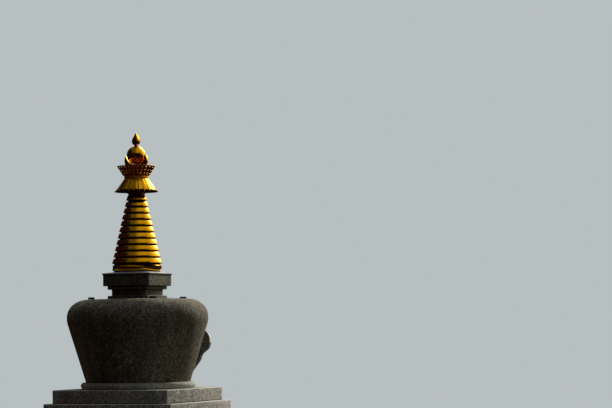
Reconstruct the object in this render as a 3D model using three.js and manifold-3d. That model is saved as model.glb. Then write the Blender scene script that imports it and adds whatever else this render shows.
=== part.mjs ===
// Granite stupa with a gilded copper spire, standing on a stepped plinth.
// Millimetres, +Z up. The origin is the centre of the underside, and the niche faces -Y.
import * as THREE from "three";
import { mergeVertices } from "three/addons/utils/BufferGeometryUtils.js";
import Module from "manifold-3d";

const wasm = await Module();
wasm.setup();

// Fits and fineness
const GAP = 0.3; // left where a piece is scribed to its neighbour or threaded on the mast
const ARRIS = 5; // chamfer on the edges of the squared stones
const ROUND_SIDES = 64; // round granite
const SPIRE_SIDES = 24; // spire rings, cushion and sphere
const SLAB_SIDES = 32; // top stone under the spire, whose corners and seat share these sides
const PANELS = 24; // folded panels of the umbrella and leaves of the crown

// Plinth and throne: side of the square, and height
const PLINTH = [
  { side: 2400, height: 150 },
  { side: 2200, height: 150 },
];
const THRONE_BASE = { side: 2000, height: 100, weathering: 40 };
const THRONE = { side: 1700, height: 520, wall: 150 };
const THRONE_PANEL = { border: 130, depth: 20 };
const CORNICE_LOWER = { side: 1850, height: 70, cove: 45 };
const CORNICE_UPPER = { side: 2040, height: 110, cove: 60 };

// Four square steps under the vase
const STEP = { count: 4, height: 133, topSide: 1256, going: 66 };

// Vase and the round moulding that carries it
const RING = { radius: 570, height: 65 };
const VASE = { height: 826, footRadius: 518, maxRadius: 703, maxHeight: 635 };
const VASE_WALL_SLOPE = 0.307; // outward run of the wall for each unit of height
const VASE_BELLY_RADIUS = 215; // arc that joins the wall to the widest line
const SHOULDER = { width: 223, height: 187, fullness: 2.2, seatRadius: 330 }; // fullness 2 is an ellipse

// Niche in the front of the vase
const NICHE = { halfWidth: 150, sill: 163, spring: 415, backDistance: 430, frontDistance: 1000 };
const SURROUND = { thickness: 50, bottom: 48, planeDistance: 700, planeHeight: 385 };
const BED = { halfWidth: 240, bottom: 70, top: 560, depth: 190 };
const SURROUND_OUTLINE = [
  // height above the foot of the vase
  { height: 48, halfWidth: 285 },
  { height: 85, halfWidth: 320 },
  { height: 143, halfWidth: 356 },
  { height: 196, halfWidth: 391 },
  { height: 265, halfWidth: 415 },
  { height: 315, halfWidth: 469 },
  { height: 385, halfWidth: 485 },
  { height: 455, halfWidth: 457 },
  { height: 509, halfWidth: 378 },
  { height: 545, halfWidth: 295 },
  { height: 575, halfWidth: 205 },
  { height: 605, halfWidth: 120 },
  { height: 645, halfWidth: 48 },
];
const SURROUND_TIP = 700;

// Small lugs on the shoulder, one on each diagonal, with their underside at the height called seat
const LUG = { size: 52, height: 20, distance: 480, seat: 823.2 };

// Square stones between the vase and the spire
const HARMIKA = {
  foot: { side: 440, height: 30 },
  neck: { side: 379, height: 61 },
  collar: { side: 441, height: 35 },
  slab: { side: 506, height: 127, lipSide: 518, lipHeight: 16, weathering: 16, seatRadius: 223 },
};

// Spire
const MAST_RADIUS = 32;
const CUSHION = { height: 67, widestHeight: 42, footRadius: 220, radius: 252, topRadius: 232 };
const SPIRE_RINGS = { count: 13, pitch: 63, groove: 12, grooveDepth: 18, lipHeight: 6, taper: 16 };
const RING_BELLY = { rise: 28, inset: 6.4 }; // point that makes a ring's band slightly convex
const FIRST_LIP_RADIUS = 249;
const LIP_STEP = 14.6; // each ring's lip is this much smaller than the one below
const UMBRELLA = { drop: 112, hemRadius: 218, neckRadius: 125, shell: 6, hubRadius: 60, hubHeight: 33 };
const HEM_BAND = 16; // height of the upright band below the skirt
const UMBRELLA_FLARE = 0.08; // share of the skirt's spread that comes with the square of the drop
const COLLAR = { radius: 119, bulge: 3, height: 36 };
const CROWN = { footRadius: 130, middleRadius: 159, rimRadius: 189, height: 96, shell: 6, stubHeight: 21 };
const MOON = { radius: 126, hollowRadius: 113, thickness: 36, hollowRise: 76.6 };
const SUN = { radius: 93.5, flatRadius: 16 };
const JEWEL_HEIGHT = 131;
const JEWEL_OUTLINE = [
  [14, 0],
  [14, 7],
  [31, 14],
  [41, 29],
  [43, 45],
  [40, 63],
  [29, 85],
  [15, 109],
];

const material = (color, roughness, metalness = 0) =>
  new THREE.MeshStandardMaterial({ color, roughness, metalness });
const steppedGranite = material(0x8d887c, 0.75);
const vaseGranite = material(0x6b665a, 0.85);
const harmikaGranite = material(0x5c564a, 0.65);
const gildedCopper = material(0xd9a021, 0.25, 1);
const darkMetal = material(0x1b1a18, 0.6, 0.5);
const mastSteel = material(0x77797b, 0.45, 1);
const masonry = material(0x8a8378, 0.9);

const stupa = new THREE.Group();

// Height of the flat seat above the centre of the sun.
const sunSeatHeight = Math.sqrt(SUN.radius ** 2 - SUN.flatRadius ** 2);

// One named piece; z is the height of its own base.
function addPiece(name, geometry, finish, z = 0) {
  const mesh = new THREE.Mesh(geometry, finish);
  mesh.name = name;
  mesh.position.z = z;
  stupa.add(mesh);
  return mesh;
}

// A solid of revolution from [radius, height] points, listed anticlockwise.
function turned(profile, sides = ROUND_SIDES, start = 0) {
  const points = profile.map(([radius, height]) => new THREE.Vector2(radius, height));
  return new THREE.LatheGeometry(points, sides, start).rotateX(Math.PI / 2);
}

// A square solid with the same moulded profile on its four sides, from [half side, height] points.
function squareMoulded(profile) {
  const corners = profile.map(([half, height]) => [half * Math.SQRT2, height]);
  return turned(corners, 4, Math.PI / 4);
}

function squareBlock({ side, height }) {
  const half = side / 2;
  return squareMoulded([
    [0, 0],
    [half - ARRIS, 0],
    [half, ARRIS],
    [half, height - ARRIS],
    [half - ARRIS, height],
    [0, height],
  ]);
}

// Points of an elliptical arc, as [radius, height]; the angles are in radians from the outward direction.
function arcPoints(centre, width, height, from, to, steps) {
  return Array.from({ length: steps + 1 }, (_, i) => {
    const angle = from + ((to - from) * i) / steps;
    return [centre[0] + width * Math.cos(angle), centre[1] + height * Math.sin(angle)];
  });
}

// Points of a quarter from outward to upright that is fuller than an ellipse, as [radius, height].
function fullQuarter(centre, { width, height, fullness }, steps) {
  return Array.from({ length: steps + 1 }, (_, i) => {
    const angle = (Math.PI * i) / (2 * steps);
    const [out, up] = [Math.cos(angle), Math.sin(angle)].map((s) => Math.abs(s) ** (2 / fullness));
    return [centre[0] + width * out, centre[1] + height * up];
  });
}

function solidOf(geometry, matrix) {
  const bare = geometry.clone().applyMatrix4(matrix ?? new THREE.Matrix4());
  bare.deleteAttribute("normal");
  bare.deleteAttribute("uv");
  const merged = mergeVertices(bare, 1e-3);
  return new wasm.Manifold(
    new wasm.Mesh({
      numProp: 3,
      vertProperties: merged.attributes.position.array,
      triVerts: new Uint32Array(merged.index.array),
    }),
  );
}

function geometryOf(solid) {
  const mesh = solid.getMesh();
  const geometry = new THREE.BufferGeometry();
  geometry.setAttribute("position", new THREE.BufferAttribute(mesh.vertProperties, 3));
  geometry.setIndex(new THREE.BufferAttribute(mesh.triVerts, 1));
  return geometry;
}

function addPlinth() {
  let z = 0;
  PLINTH.forEach((step, i) => {
    addPiece(`plinth_step_${i + 1}`, squareBlock(step), steppedGranite, z);
    z += step.height;
  });
  return z;
}

// A square course whose upper edge is sloped to shed water.
function throneBase() {
  const half = THRONE_BASE.side / 2;
  const { height, weathering } = THRONE_BASE;
  return squareMoulded([
    [0, 0],
    [half, 0],
    [half, height - weathering],
    [half - weathering, height],
    [0, height],
  ]);
}

// A square course that steps out over the one below through a hollow moulding.
function cornice({ side, height, cove }) {
  const half = side / 2;
  const hollow = arcPoints([half, 0], cove, cove, Math.PI, Math.PI / 2, 4);
  return squareMoulded([[0, 0], ...hollow, [half, height], [0, height]]);
}

// One slab of the throne, with a sunk panel on its outer face, which looks along -Y.
function throneWall(length) {
  const { height, wall } = THRONE;
  const { border, depth } = THRONE_PANEL;
  const slab = new THREE.BoxGeometry(length, wall, height).translate(0, 0, height / 2);
  const field = new THREE.BoxGeometry(length - 2 * border, 2 * depth, height - 2 * border);
  field.translate(0, -wall / 2, height / 2);
  return geometryOf(solidOf(slab).subtract(solidOf(field)));
}

function addThrone(z) {
  const distance = (THRONE.side - THRONE.wall) / 2;
  const inner = THRONE.side - 2 * THRONE.wall;
  const walls = [
    ["throne_wall_front", THRONE.side, 0],
    ["throne_wall_right", inner, 1],
    ["throne_wall_back", THRONE.side, 2],
    ["throne_wall_left", inner, 3],
  ];
  for (const [name, length, quarter] of walls) {
    const geometry = throneWall(length).translate(0, -distance, 0);
    // Quarter turns are written as whole numbers so that neighbouring faces meet exactly.
    const [c, s] = [[1, 0], [0, 1], [-1, 0], [0, -1]][quarter];
    geometry.applyMatrix4(new THREE.Matrix4().set(c, -s, 0, 0, s, c, 0, 0, 0, 0, 1, 0, 0, 0, 0, 1));
    addPiece(name, geometry, steppedGranite, z);
  }
  const core = new THREE.BoxGeometry(inner, inner, THRONE.height);
  addPiece("throne_core", core.translate(0, 0, THRONE.height / 2), masonry, z);
  return z + THRONE.height;
}

function addSteps(z) {
  for (let i = 1; i <= STEP.count; i++) {
    const side = STEP.topSide + 2 * STEP.going * (STEP.count - i);
    addPiece(`step_${i}`, squareBlock({ side, height: STEP.height }), steppedGranite, z);
    z += STEP.height;
  }
  return z;
}

// The round moulding: a flat seat above and below, and a rounded edge.
function vaseRing() {
  const half = RING.height / 2;
  const edge = arcPoints([RING.radius - half, half], half, half, -Math.PI / 2, Math.PI / 2, 8);
  return turned([[0, 0], ...edge, [0, RING.height]]);
}

// Straight wall, belly arc, shoulder and a nearly flat top.
function vaseBody() {
  const lean = Math.atan(VASE_WALL_SLOPE);
  const { maxRadius, maxHeight, footRadius, height } = VASE;
  const bellyCentre = [maxRadius - VASE_BELLY_RADIUS, maxHeight];
  const belly = arcPoints(bellyCentre, VASE_BELLY_RADIUS, VASE_BELLY_RADIUS, -lean, 0, 3);
  const shoulderCentre = [maxRadius - SHOULDER.width, maxHeight];
  const shoulder = fullQuarter(shoulderCentre, SHOULDER, 10);
  return turned([
    [0, 0],
    [footRadius, 0],
    ...belly,
    ...shoulder.slice(1),
    [SHOULDER.seatRadius, height],
    [0, height],
  ]);
}

// The space cut into the vase and through the surround: an arch, level and square to the front.
function nicheSpace() {
  const { halfWidth, sill, spring, backDistance, frontDistance } = NICHE;
  const arch = new THREE.Shape();
  arch.moveTo(-halfWidth, sill);
  arch.lineTo(halfWidth, sill);
  arch.lineTo(halfWidth, spring);
  arch.absarc(0, spring, halfWidth, 0, Math.PI);
  const depth = frontDistance - backDistance;
  const prism = new THREE.ExtrudeGeometry(arch, { depth, bevelEnabled: false, curveSegments: 12 });
  return prism.rotateX(Math.PI / 2).translate(0, -backDistance, 0);
}

// Leaf-shaped outline of the surround, in the plane that leans with the vase wall.
function surroundShape(lean) {
  const along = (height) => (height - SURROUND.bottom) / Math.cos(lean);
  const right = SURROUND_OUTLINE.map(({ height, halfWidth }) => [halfWidth, along(height)]);
  const tip = [0, along(SURROUND_TIP)];
  const left = right.map(([x, y]) => [-x, y]).reverse();
  const toVector = ([x, y]) => new THREE.Vector2(x, y);
  const shape = new THREE.Shape();
  shape.moveTo(...right[0]);
  shape.splineThru([...right.slice(1), tip].map(toVector));
  shape.splineThru(left.map(toVector));
  return shape;
}

// One carved stone: the leaf-shaped plate and, behind it, the block scribed to the vase.
function nicheSurround() {
  const lean = Math.atan(VASE_WALL_SLOPE);
  const bottomDistance =
    SURROUND.planeDistance - VASE_WALL_SLOPE * (SURROUND.planeHeight - SURROUND.bottom);
  const toFront = new THREE.Matrix4()
    .makeRotationX(Math.PI / 2 + lean)
    .setPosition(0, -bottomDistance, SURROUND.bottom);
  const plate = new THREE.ExtrudeGeometry(surroundShape(lean), {
    depth: SURROUND.thickness,
    bevelEnabled: false,
    curveSegments: 3,
  }).translate(0, 0, -SURROUND.thickness);
  const bedLength = (BED.top - BED.bottom) / Math.cos(lean);
  const bed = new THREE.BoxGeometry(2 * BED.halfWidth, bedLength, BED.depth);
  const bedCentre = (BED.bottom - SURROUND.bottom) / Math.cos(lean) + bedLength / 2;
  bed.translate(0, bedCentre, -SURROUND.thickness / 2 - BED.depth / 2);
  const grow = 1 + GAP / VASE.maxRadius;
  const grownVase = solidOf(vaseBody(), new THREE.Matrix4().makeScale(grow, grow, 1));
  return geometryOf(
    solidOf(plate, toFront).add(solidOf(bed, toFront)).subtract(grownVase).subtract(solidOf(nicheSpace())),
  );
}

function addVase(z) {
  addPiece("vase_ring", vaseRing(), steppedGranite, z);
  z += RING.height;
  const vase = geometryOf(solidOf(vaseBody()).subtract(solidOf(nicheSpace())));
  addPiece("vase", vase, vaseGranite, z);
  addPiece("niche_surround", nicheSurround(), steppedGranite, z);
  for (let i = 0; i < 4; i++) {
    const diagonal = Math.PI / 4 + (i * Math.PI) / 2;
    const lug = new THREE.BoxGeometry(LUG.size, LUG.size, LUG.height);
    lug.translate(LUG.distance, 0, LUG.height / 2).rotateZ(diagonal);
    addPiece(`shoulder_lug_${i + 1}`, lug, darkMetal, z + LUG.seat);
  }
  return z + VASE.height;
}

// The top stone: a thin lip runs round its upper edge, and its weathered top eases from the square
// edge to a round seat.
function harmikaSlab() {
  const { side, height, lipSide, lipHeight, weathering, seatRadius } = HARMIKA.slab;
  const slab = turned(
    [
      [0, 0],
      [side / 2 - ARRIS, 0],
      [side / 2, ARRIS],
      [side / 2, height - lipHeight],
      [lipSide / 2, height - lipHeight],
      [lipSide / 2, height],
      [seatRadius, height + weathering],
      [0, height + weathering],
    ],
    SLAB_SIDES,
  );
  const points = slab.attributes.position;
  for (let i = 0; i < points.count; i++) {
    const [x, y] = [points.getX(i), points.getY(i)];
    const reach = Math.max(Math.abs(x), Math.abs(y));
    if (reach === 0 || points.getZ(i) > height + weathering / 2) continue;
    const grow = Math.hypot(x, y) / reach; // takes a circle out to the square round it
    points.setXY(i, x * grow, y * grow);
  }
  return slab;
}

function addHarmika(z) {
  for (const name of ["foot", "neck", "collar"]) {
    addPiece(`harmika_${name}`, squareBlock(HARMIKA[name]), harmikaGranite, z);
    z += HARMIKA[name].height;
  }
  addPiece("harmika_slab", harmikaSlab(), harmikaGranite, z);
  return z + HARMIKA.slab.height + HARMIKA.slab.weathering;
}

// The bulging base of the spire, widest above its middle.
function spireCushion(bore) {
  const { height, widestHeight, footRadius, radius, topRadius } = CUSHION;
  const rise = height - widestHeight;
  const below = arcPoints([footRadius, widestHeight], radius - footRadius, widestHeight, -Math.PI / 2, 0, 4);
  const above = arcPoints([topRadius, widestHeight], radius - topRadius, rise, 0, Math.PI / 2, 4);
  return turned([[bore, 0], ...below, ...above.slice(1), [bore, height], [bore, 0]], SPIRE_SIDES);
}

// One ring: a recessed groove below, then a lip and a slightly convex, tapering band.
function spireRing(lip, bore) {
  const { pitch, groove, grooveDepth, lipHeight, taper } = SPIRE_RINGS;
  return turned(
    [
      [bore, 0],
      [lip - grooveDepth, 0],
      [lip - grooveDepth, groove],
      [lip, groove],
      [lip, groove + lipHeight],
      [lip - RING_BELLY.inset, groove + RING_BELLY.rise],
      [lip - taper, pitch],
      [bore, pitch],
      [bore, 0],
    ],
    SPIRE_SIDES,
  );
}

// The umbrella: a thin flared skirt with an upright hem, hollow beneath, on a hub that grips the mast.
function umbrellaSkirt(bore) {
  const { drop, hemRadius, neckRadius, shell, hubRadius, hubHeight } = UMBRELLA;
  const rise = hubHeight + shell;
  const hem = rise - drop - HEM_BAND;
  const flare = (share, inset) => {
    const spread = (1 - UMBRELLA_FLARE) * share + UMBRELLA_FLARE * share ** 2;
    return [neckRadius + (hemRadius - neckRadius) * spread - inset, rise - drop * share];
  };
  const shares = [0.25, 0.5, 0.75, 1];
  const outside = shares.map((share) => flare(share, 0)).reverse();
  const inside = shares.map((share) => flare(share, shell));
  return turned(
    [
      [bore, 0],
      [hubRadius, 0],
      [hubRadius, hubHeight],
      [neckRadius - shell, hubHeight],
      ...inside,
      [hemRadius - shell, hem],
      [hemRadius, hem],
      ...outside,
      [neckRadius, rise],
      [bore, rise],
      [bore, 0],
    ],
    PANELS,
  );
}

function umbrellaCollar(bore) {
  const { radius, bulge, height } = COLLAR;
  return turned(
    [
      [bore, 0],
      [radius, 0],
      [radius + bulge, height / 2],
      [radius, height],
      [bore, height],
      [bore, 0],
    ],
    SPIRE_SIDES,
  );
}

// The open lotus cup that holds the moon and the sun.
function lotusCrown(bore) {
  const { footRadius, middleRadius, rimRadius, height, shell } = CROWN;
  return turned(
    [
      [bore, 0],
      [footRadius, 0],
      [middleRadius, height / 2],
      [rimRadius, height],
      [rimRadius - shell, height],
      [middleRadius - shell, height / 2],
      [footRadius - shell / 2, shell],
      [bore, shell],
      [bore, 0],
    ],
    PANELS,
  );
}

// Crescent between two arcs, horns up, standing across the mast with its faces to front and back.
function moonCrescent() {
  const { radius, hollowRadius, thickness, hollowRise } = MOON;
  // Height at which the two circles cross, from the centre of the outer one.
  const crossing = (hollowRise ** 2 + radius ** 2 - hollowRadius ** 2) / (2 * hollowRise);
  const outerTip = Math.asin(crossing / radius);
  const innerTip = Math.asin((crossing - hollowRise) / hollowRadius);
  const shape = new THREE.Shape();
  shape.absarc(0, radius, radius, outerTip, -Math.PI - outerTip, true);
  shape.absarc(0, radius + hollowRise, hollowRadius, -Math.PI - innerTip, innerTip, false);
  const crescent = new THREE.ExtrudeGeometry(shape, {
    depth: thickness,
    bevelEnabled: false,
    curveSegments: 20,
  });
  return crescent.rotateX(Math.PI / 2).translate(0, thickness / 2, 0);
}

// A ball with a small flat seat on top for the jewel.
function sunSphere() {
  const seatTilt = Math.acos(SUN.flatRadius / SUN.radius);
  const ball = arcPoints([0, 0], SUN.radius, SUN.radius, -Math.PI / 2, seatTilt, 16);
  return turned([[0, -SUN.radius], ...ball.slice(1), [0, sunSeatHeight]], SPIRE_SIDES);
}

// A flame-shaped jewel on a short stem.
function finialJewel() {
  return turned([[0, 0], ...JEWEL_OUTLINE, [0, JEWEL_HEIGHT]], SPIRE_SIDES);
}

function addSpire(z) {
  const bore = MAST_RADIUS + GAP;
  const foot = z;
  addPiece("spire_cushion", spireCushion(bore), gildedCopper, z);
  z += CUSHION.height;
  for (let i = 0; i < SPIRE_RINGS.count; i++) {
    const lip = FIRST_LIP_RADIUS - i * LIP_STEP;
    const number = String(i + 1).padStart(2, "0");
    addPiece(`spire_ring_${number}`, spireRing(lip, bore), gildedCopper, z);
    z += SPIRE_RINGS.pitch;
  }
  addPiece("umbrella_skirt", umbrellaSkirt(bore), gildedCopper, z);
  z += UMBRELLA.hubHeight + UMBRELLA.shell;
  addPiece("umbrella_collar", umbrellaCollar(bore), gildedCopper, z);
  z += COLLAR.height;
  addPiece("lotus_crown", lotusCrown(bore), gildedCopper, z);
  z += CROWN.stubHeight; // the mast ends in a short stub inside the cup
  const mast = turned([[0, 0], [MAST_RADIUS, 0], [MAST_RADIUS, z - foot], [0, z - foot]], SPIRE_SIDES);
  addPiece("spire_mast", mast, mastSteel, foot);
  const moonFoot = z + GAP;
  addPiece("moon_crescent", moonCrescent(), gildedCopper, moonFoot);
  const hollowFoot = moonFoot + MOON.radius + MOON.hollowRise - MOON.hollowRadius;
  const sunCentre = hollowFoot + GAP + SUN.radius;
  addPiece("sun_sphere", sunSphere(), gildedCopper, sunCentre);
  addPiece("finial_jewel", finialJewel(), gildedCopper, sunCentre + sunSeatHeight + GAP);
}

let height = addPlinth();
addPiece("throne_base", throneBase(), steppedGranite, height);
height = addThrone(height + THRONE_BASE.height);
addPiece("cornice_lower", cornice(CORNICE_LOWER), steppedGranite, height);
height += CORNICE_LOWER.height;
addPiece("cornice_upper", cornice(CORNICE_UPPER), steppedGranite, height);
height = addSteps(height + CORNICE_UPPER.height);
height = addVase(height);
height = addHarmika(height);
addSpire(height);

export default stupa;
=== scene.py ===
import math

import bmesh
import bpy
from mathutils import Matrix, Vector, noise


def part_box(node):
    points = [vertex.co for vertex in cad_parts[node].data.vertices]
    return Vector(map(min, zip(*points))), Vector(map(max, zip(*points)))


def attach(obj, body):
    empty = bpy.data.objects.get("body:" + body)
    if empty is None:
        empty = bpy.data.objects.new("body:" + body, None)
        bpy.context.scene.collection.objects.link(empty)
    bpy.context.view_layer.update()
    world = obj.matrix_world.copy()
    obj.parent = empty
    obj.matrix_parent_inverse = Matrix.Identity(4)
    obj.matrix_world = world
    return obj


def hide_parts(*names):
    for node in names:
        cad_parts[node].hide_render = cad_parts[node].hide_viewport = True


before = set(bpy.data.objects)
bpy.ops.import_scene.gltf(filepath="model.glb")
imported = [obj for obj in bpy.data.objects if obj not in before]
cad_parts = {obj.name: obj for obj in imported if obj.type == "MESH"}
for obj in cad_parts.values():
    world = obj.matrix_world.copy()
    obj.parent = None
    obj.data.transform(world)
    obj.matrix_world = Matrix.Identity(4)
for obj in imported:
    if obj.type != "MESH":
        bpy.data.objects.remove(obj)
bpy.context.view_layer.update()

# All sizes are in metres. The camera stands behind the stupa, a little to its left.
PICTURE = (612, 408)
FOCAL_PIXELS = 2344
SENSOR_WIDTH = 36
AXIS_PIXEL = (137.83, 333)
EYE_HEIGHT = 2.182
VIEW_DEPTH = 400
CAMERA_DISTANCE = 23.44
CAMERA_AZIMUTH = 206.67  # in degrees from the front, towards +X
CAMERA_ROLL = math.radians(-0.78)

FLOOR_RADIUS = 38
LAMP_DISTANCE = 12
LAMP_LEVEL = 2.4  # height that the lamps are aimed at
SOFT_LIGHT = 0.15  # strength of the light from all round that the stone gets

# Stonework
ARRIS = 0.008
HARMIKA_ARRIS = 0.003
# Dark band at the foot of each course's sides, this high: painted shade in the corner over the course below, with
# some grime
FOOT_SHADE_AND_GRIME = 0.008
JOINT_GRIME = 0.8  # how dark the arrises beside a joint are
# Dark band at the top of the harmika's neck and collar, this high: painted shade under the stone above
HARMIKA_PAINTED_SHADE = 0.012
JOINT = 0.003
MORTAR_INSET = 0.007
THRONE_BASE_SLOPE = 0.04
CORNICE_COVES = {"cornice_lower": 0.045, "cornice_upper": 0.06}
BLOCK_CUTS = {
    "plinth_step_1": (-0.4, 0.4),
    "plinth_step_2": (0.0,),
    "throne_base": (-0.34, 0.34),
    "cornice_lower": (0.0,),
    "cornice_upper": (-0.34, 0.34),
}
# Moulded edge of the throne's sunk panels: distance from the slab's edge, depth below its face
PANEL_PROFILE = [
    (0.130, 0.000),
    (0.133, 0.005),
    (0.140, 0.007),
    (0.149, 0.010),
    (0.155, 0.016),
    (0.157, 0.020),
]
# How rubbed and how much darker that edge is made, by its bands
PANEL_WEAR = {2: (0.9, 0.0), 3: (0.4, 0.0), 6: (0.0, 0.7), 7: (0.0, 0.9)}
WALL_TONE = 0.25  # how far the throne's walls differ in tone

# Top stone under the spire
SLAB = {
    "lip_reach": 0.006,
    "lip_height": 0.020,
    "bright": 0.007,
    "weathering": 0.016,
    "seat_radius": 0.223,
    "dark_foot": 0.006,
    # Painted shadow: a dark band this high on the face under the lead lip
    "shade_under_lip": 0.005,
    "arris": 0.002,
    "sides": 64,
}

RING_WEAR_AND_HIGHLIGHT = 0.25  # how pale the outer face of the moulding under the vase is made: rubbed, and a painted highlight

# Vase, above its foot
VASE_FOOT_RADIUS = 0.518
VASE_FOOT_EDGE = [(-0.004, 0.0), (0.002, 0.006)]  # rounding of the foot, as (out from its radius, up)
VASE_RADIUS = 0.703
VASE_WIDEST = 0.635
VASE_TOP = 0.826
VASE_LEAN = math.atan(0.307)
BELLY_RADIUS = 0.215
SHOULDER = (0.223, 0.187)
SHOULDER_FULLNESS = 2.2  # 2 is an ellipse
VASE_SEAT_RADIUS = 0.33
VASE_CLEARANCE = 0.0005
NICHE_HALF_WIDTH = 0.15
NICHE_SILL = 0.163
NICHE_SPRING = 0.415
NICHE_BACK = 0.43

# Frame of the niche: heights and half widths above the vase's foot
PLATE_BOTTOM = 0.048
PLATE_TIP = 0.7
PLATE_THICKNESS = 0.05
PLATE_DISTANCE = 0.7
PLATE_LEVEL = 0.385
PLATE_OUTLINE = [
    (0.048, 0.285),
    (0.085, 0.320),
    (0.143, 0.356),
    (0.196, 0.391),
    (0.265, 0.415),
    (0.315, 0.469),
    (0.385, 0.485),
    (0.455, 0.457),
    (0.509, 0.378),
    (0.545, 0.295),
    (0.575, 0.205),
    (0.605, 0.120),
    (0.645, 0.048),
]
# Raised border: distance in from the edge, height over the plate's front plane
BORDER_PROFILE = [(0.0, -0.010), (0.003, -0.003), (0.010, 0.0), (0.022, 0.0), (0.029, -0.003), (0.033, -0.011)]
RUBBED = (0.5, 0.8, 0.3, 0.4, 0.0)  # how pale each band of that border is worn
PAINTED_LIGHT_RIM = (0.33, 0.45)  # where the frame's side is made pale along the slope: a painted highlight where it catches the light
# How pale the frame's side is made where it catches the light, a painted highlight, and how dark the rest of it, the
# back and the field are made: painted shade on the side and the back, the field a little darker
PLATE_PALE_AND_DARK = {"painted_lit_side": 0.9, "painted_shaded_side": 0.7, "back": 0.75, "field": 0.25}
# Carving on the frame, in its own plane: the middle line of each scroll, and the beads round the arch
SCROLLS = [
    {"centre": (0.345, 0.345), "radius": 0.072, "stem": [(0.226, 0.050), (0.228, 0.140), (0.243, 0.235)]},
    {"centre": (0.300, 0.150), "radius": 0.040, "stem": [(0.262, 0.040), (0.256, 0.090)]},
]
SCROLL_START = math.radians(200)
SCROLL_TURNS = 1.6
SCROLL_TIGHTENING = 0.8
RIB_RADIUS = 0.0065
RELIEF_LEVEL = -0.009
BEADS = {"radius": 0.0075, "spacing": 0.022, "distance": 0.047}
CARVING_WEAR = 0.55
BUD = {"size": (0.012, 0.02, 0.009), "below_tip": 0.07}
BED = {"half_width": 0.24, "bottom": 0.07, "top": 0.56, "depth": 0.19, "lap": 0.002}
LUG = {"side": 0.052, "arris": 0.003}

# Spire
ROUND = 192
RING_COUNT = 13
RING_PITCH = 0.063
RING_GROOVE = 0.015
RING_GROOVE_DEPTH = 0.018
SHELTERED = {"ring": 12, "groove_depth": 0.008}  # the topmost ring that shows, in the umbrella's shade
RING_LIP = 0.006
RING_TAPER = 0.016
RING_CROWNING = 0.0009
RING_UNEVENNESS = 0.0012
RING_GAP = 0.0005
# Roundings of a ring's section, as (in or out, up or down) from the groove's inner corner, the lip and the top edge
GROOVE_CORNER = [(0.0005, -0.002), (0.003, 0.0)]
LIP_EDGE = [(-0.002, 0.0), (-0.0005, 0.0006), (0.0, 0.002)]
RING_TOP_EDGE = (0.0015, 0.003)
# The groove's dark finish, oxidised copper that is patina and also painted shade under the lip: how far above it that
# ends, and the share of its depth that stays bright at the lip
GROOVE_FINISH = {"above": 0.0002, "bright": 0.3}
RING_WALL = 0.05
FIRST_LIP_RADIUS = 0.249
LIP_STEP = 0.0146
CUSHION = {
    "height": 0.067,
    "widest": 0.042,
    "foot": 0.22,
    "radius": 0.252,
    "top": 0.232,
    "wall": 0.1,
    "gap": 0.0005,
    "unevenness": 0.004,
    "dark_foot": 0.006,
}
# Dark fold in the cushion, twice round it, a recess lined with oxidised copper as painted shade: it opens as a wedge
# along its length; shares are of its length or height
FOLD = {
    "start": math.radians(114),
    "length": math.radians(125),
    "top": 0.0575,
    "slope": 0.007,
    "slope_ends": 0.4,
    "height": 0.033,
    "opening": 0.25,
    "widening": 1.2,
    "depth": 0.008,
    "upper_lip": 0.003,
    "lower_lip": 0.005,
    "run_out": 0.05,
}
PANELS = 24
SEAM = {"turn": math.radians(2), "half_width": 0.09, "bulge": 0.0006, "valley": 0.0022}  # width in panels
SKIRT = {"neck": 0.1245, "hem": 0.2165, "top": 3.717, "drop": 0.1275, "flare": 0.08, "shell": 0.004}
# Dark strip along the hem, with a row of bosses and a wire at its edge. Levels are shares of the strip and of the
# wire; the turn is from the seams.
HEM = {
    "strip": 0.015,
    "boss": 0.006,
    "boss_level": 0.42,
    "boss_turn": math.radians(2),
    "wire": 0.0022,
    "wire_level": 0.6,
}
STUD = {"reach": 0.003, "radius": 0.004, "rise": 0.03}
TRIM_SINK = 0.001  # how deep the small trim sits in its sheet
MAST_BORE = 0.034
HUB = {"radius": 0.06, "bottom": 3.678, "thickness": 0.006, "edge": 0.004, "inside_neck": (0.003, 0.001)}
COLLAR = {
    "radius": 0.1195,
    "bore": 0.04,
    "gap": 0.0003,
    "lobes": 36,
    "lobe": (0.0055, 0.0095, 0.0095),
    "lobe_sink": 0.002,
}
# Fillet at either edge of the collar, as (out from its radius, in from its edge)
COLLAR_FILLET = [(0.002, 0.0), (0.003, 0.003), (0.001, 0.0055), (-0.003, 0.007)]
CROWN = {
    "foot": 0.132,
    "rim": 0.1885,
    "flare": 1.05,
    "rib": 0.003,
    "rows": 3,
    "hole": (0.0172, 0.016),
    "turn": math.radians(8.5),
    "scale": (0.003, 0.0078, 0.0088),
    "scale_lean": math.radians(32),
    "sheet": 0.003,
    "bead": 0.0035,
}
# Edge of the cup's floor, as (out from its foot, up from its underside)
CUP_FLOOR_EDGE = [(-0.002, 0.0), (0.001, 0.003), (-0.002, 0.006)]
MOON = {"radius": 0.126, "hollow": 0.113, "rise": 0.0766, "thickness": 0.036, "stations": 64, "sides": 20}
MOON_SQUARENESS = 0.62  # 1 is a round section
MOON_FULLNESS = 3.2
SUN = {"radius": 0.0935, "seat": 0.0155, "gap": 0.0002}
# The jewel is turned, with four soft hollows in its sides above the foot, and has a ring of petals
JEWEL = {"foot": 0.012, "girth": 0.97, "hollow": 0.075, "turn": 0.35, "fade": 0.02}
PETALS = {
    "count": 8,
    "ring": 0.0235,
    "height": 0.036,
    "width": 0.0165,
    "taper": 0.75,
    "thickness": 0.0035,
    "bulge": 0.016,
    "curl": 0.62,
}
JEWEL_OUTLINE = [
    (0.0, 0.0),
    (0.013, 0.0),
    (0.0135, 0.005),
    (0.022, 0.009),
    (0.033, 0.017),
    (0.0405, 0.030),
    (0.043, 0.046),
    (0.041, 0.061),
    (0.035, 0.075),
    (0.027, 0.089),
    (0.018, 0.104),
    (0.009, 0.118),
    (0.003, 0.127),
    (0.0, 0.131),
]

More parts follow.
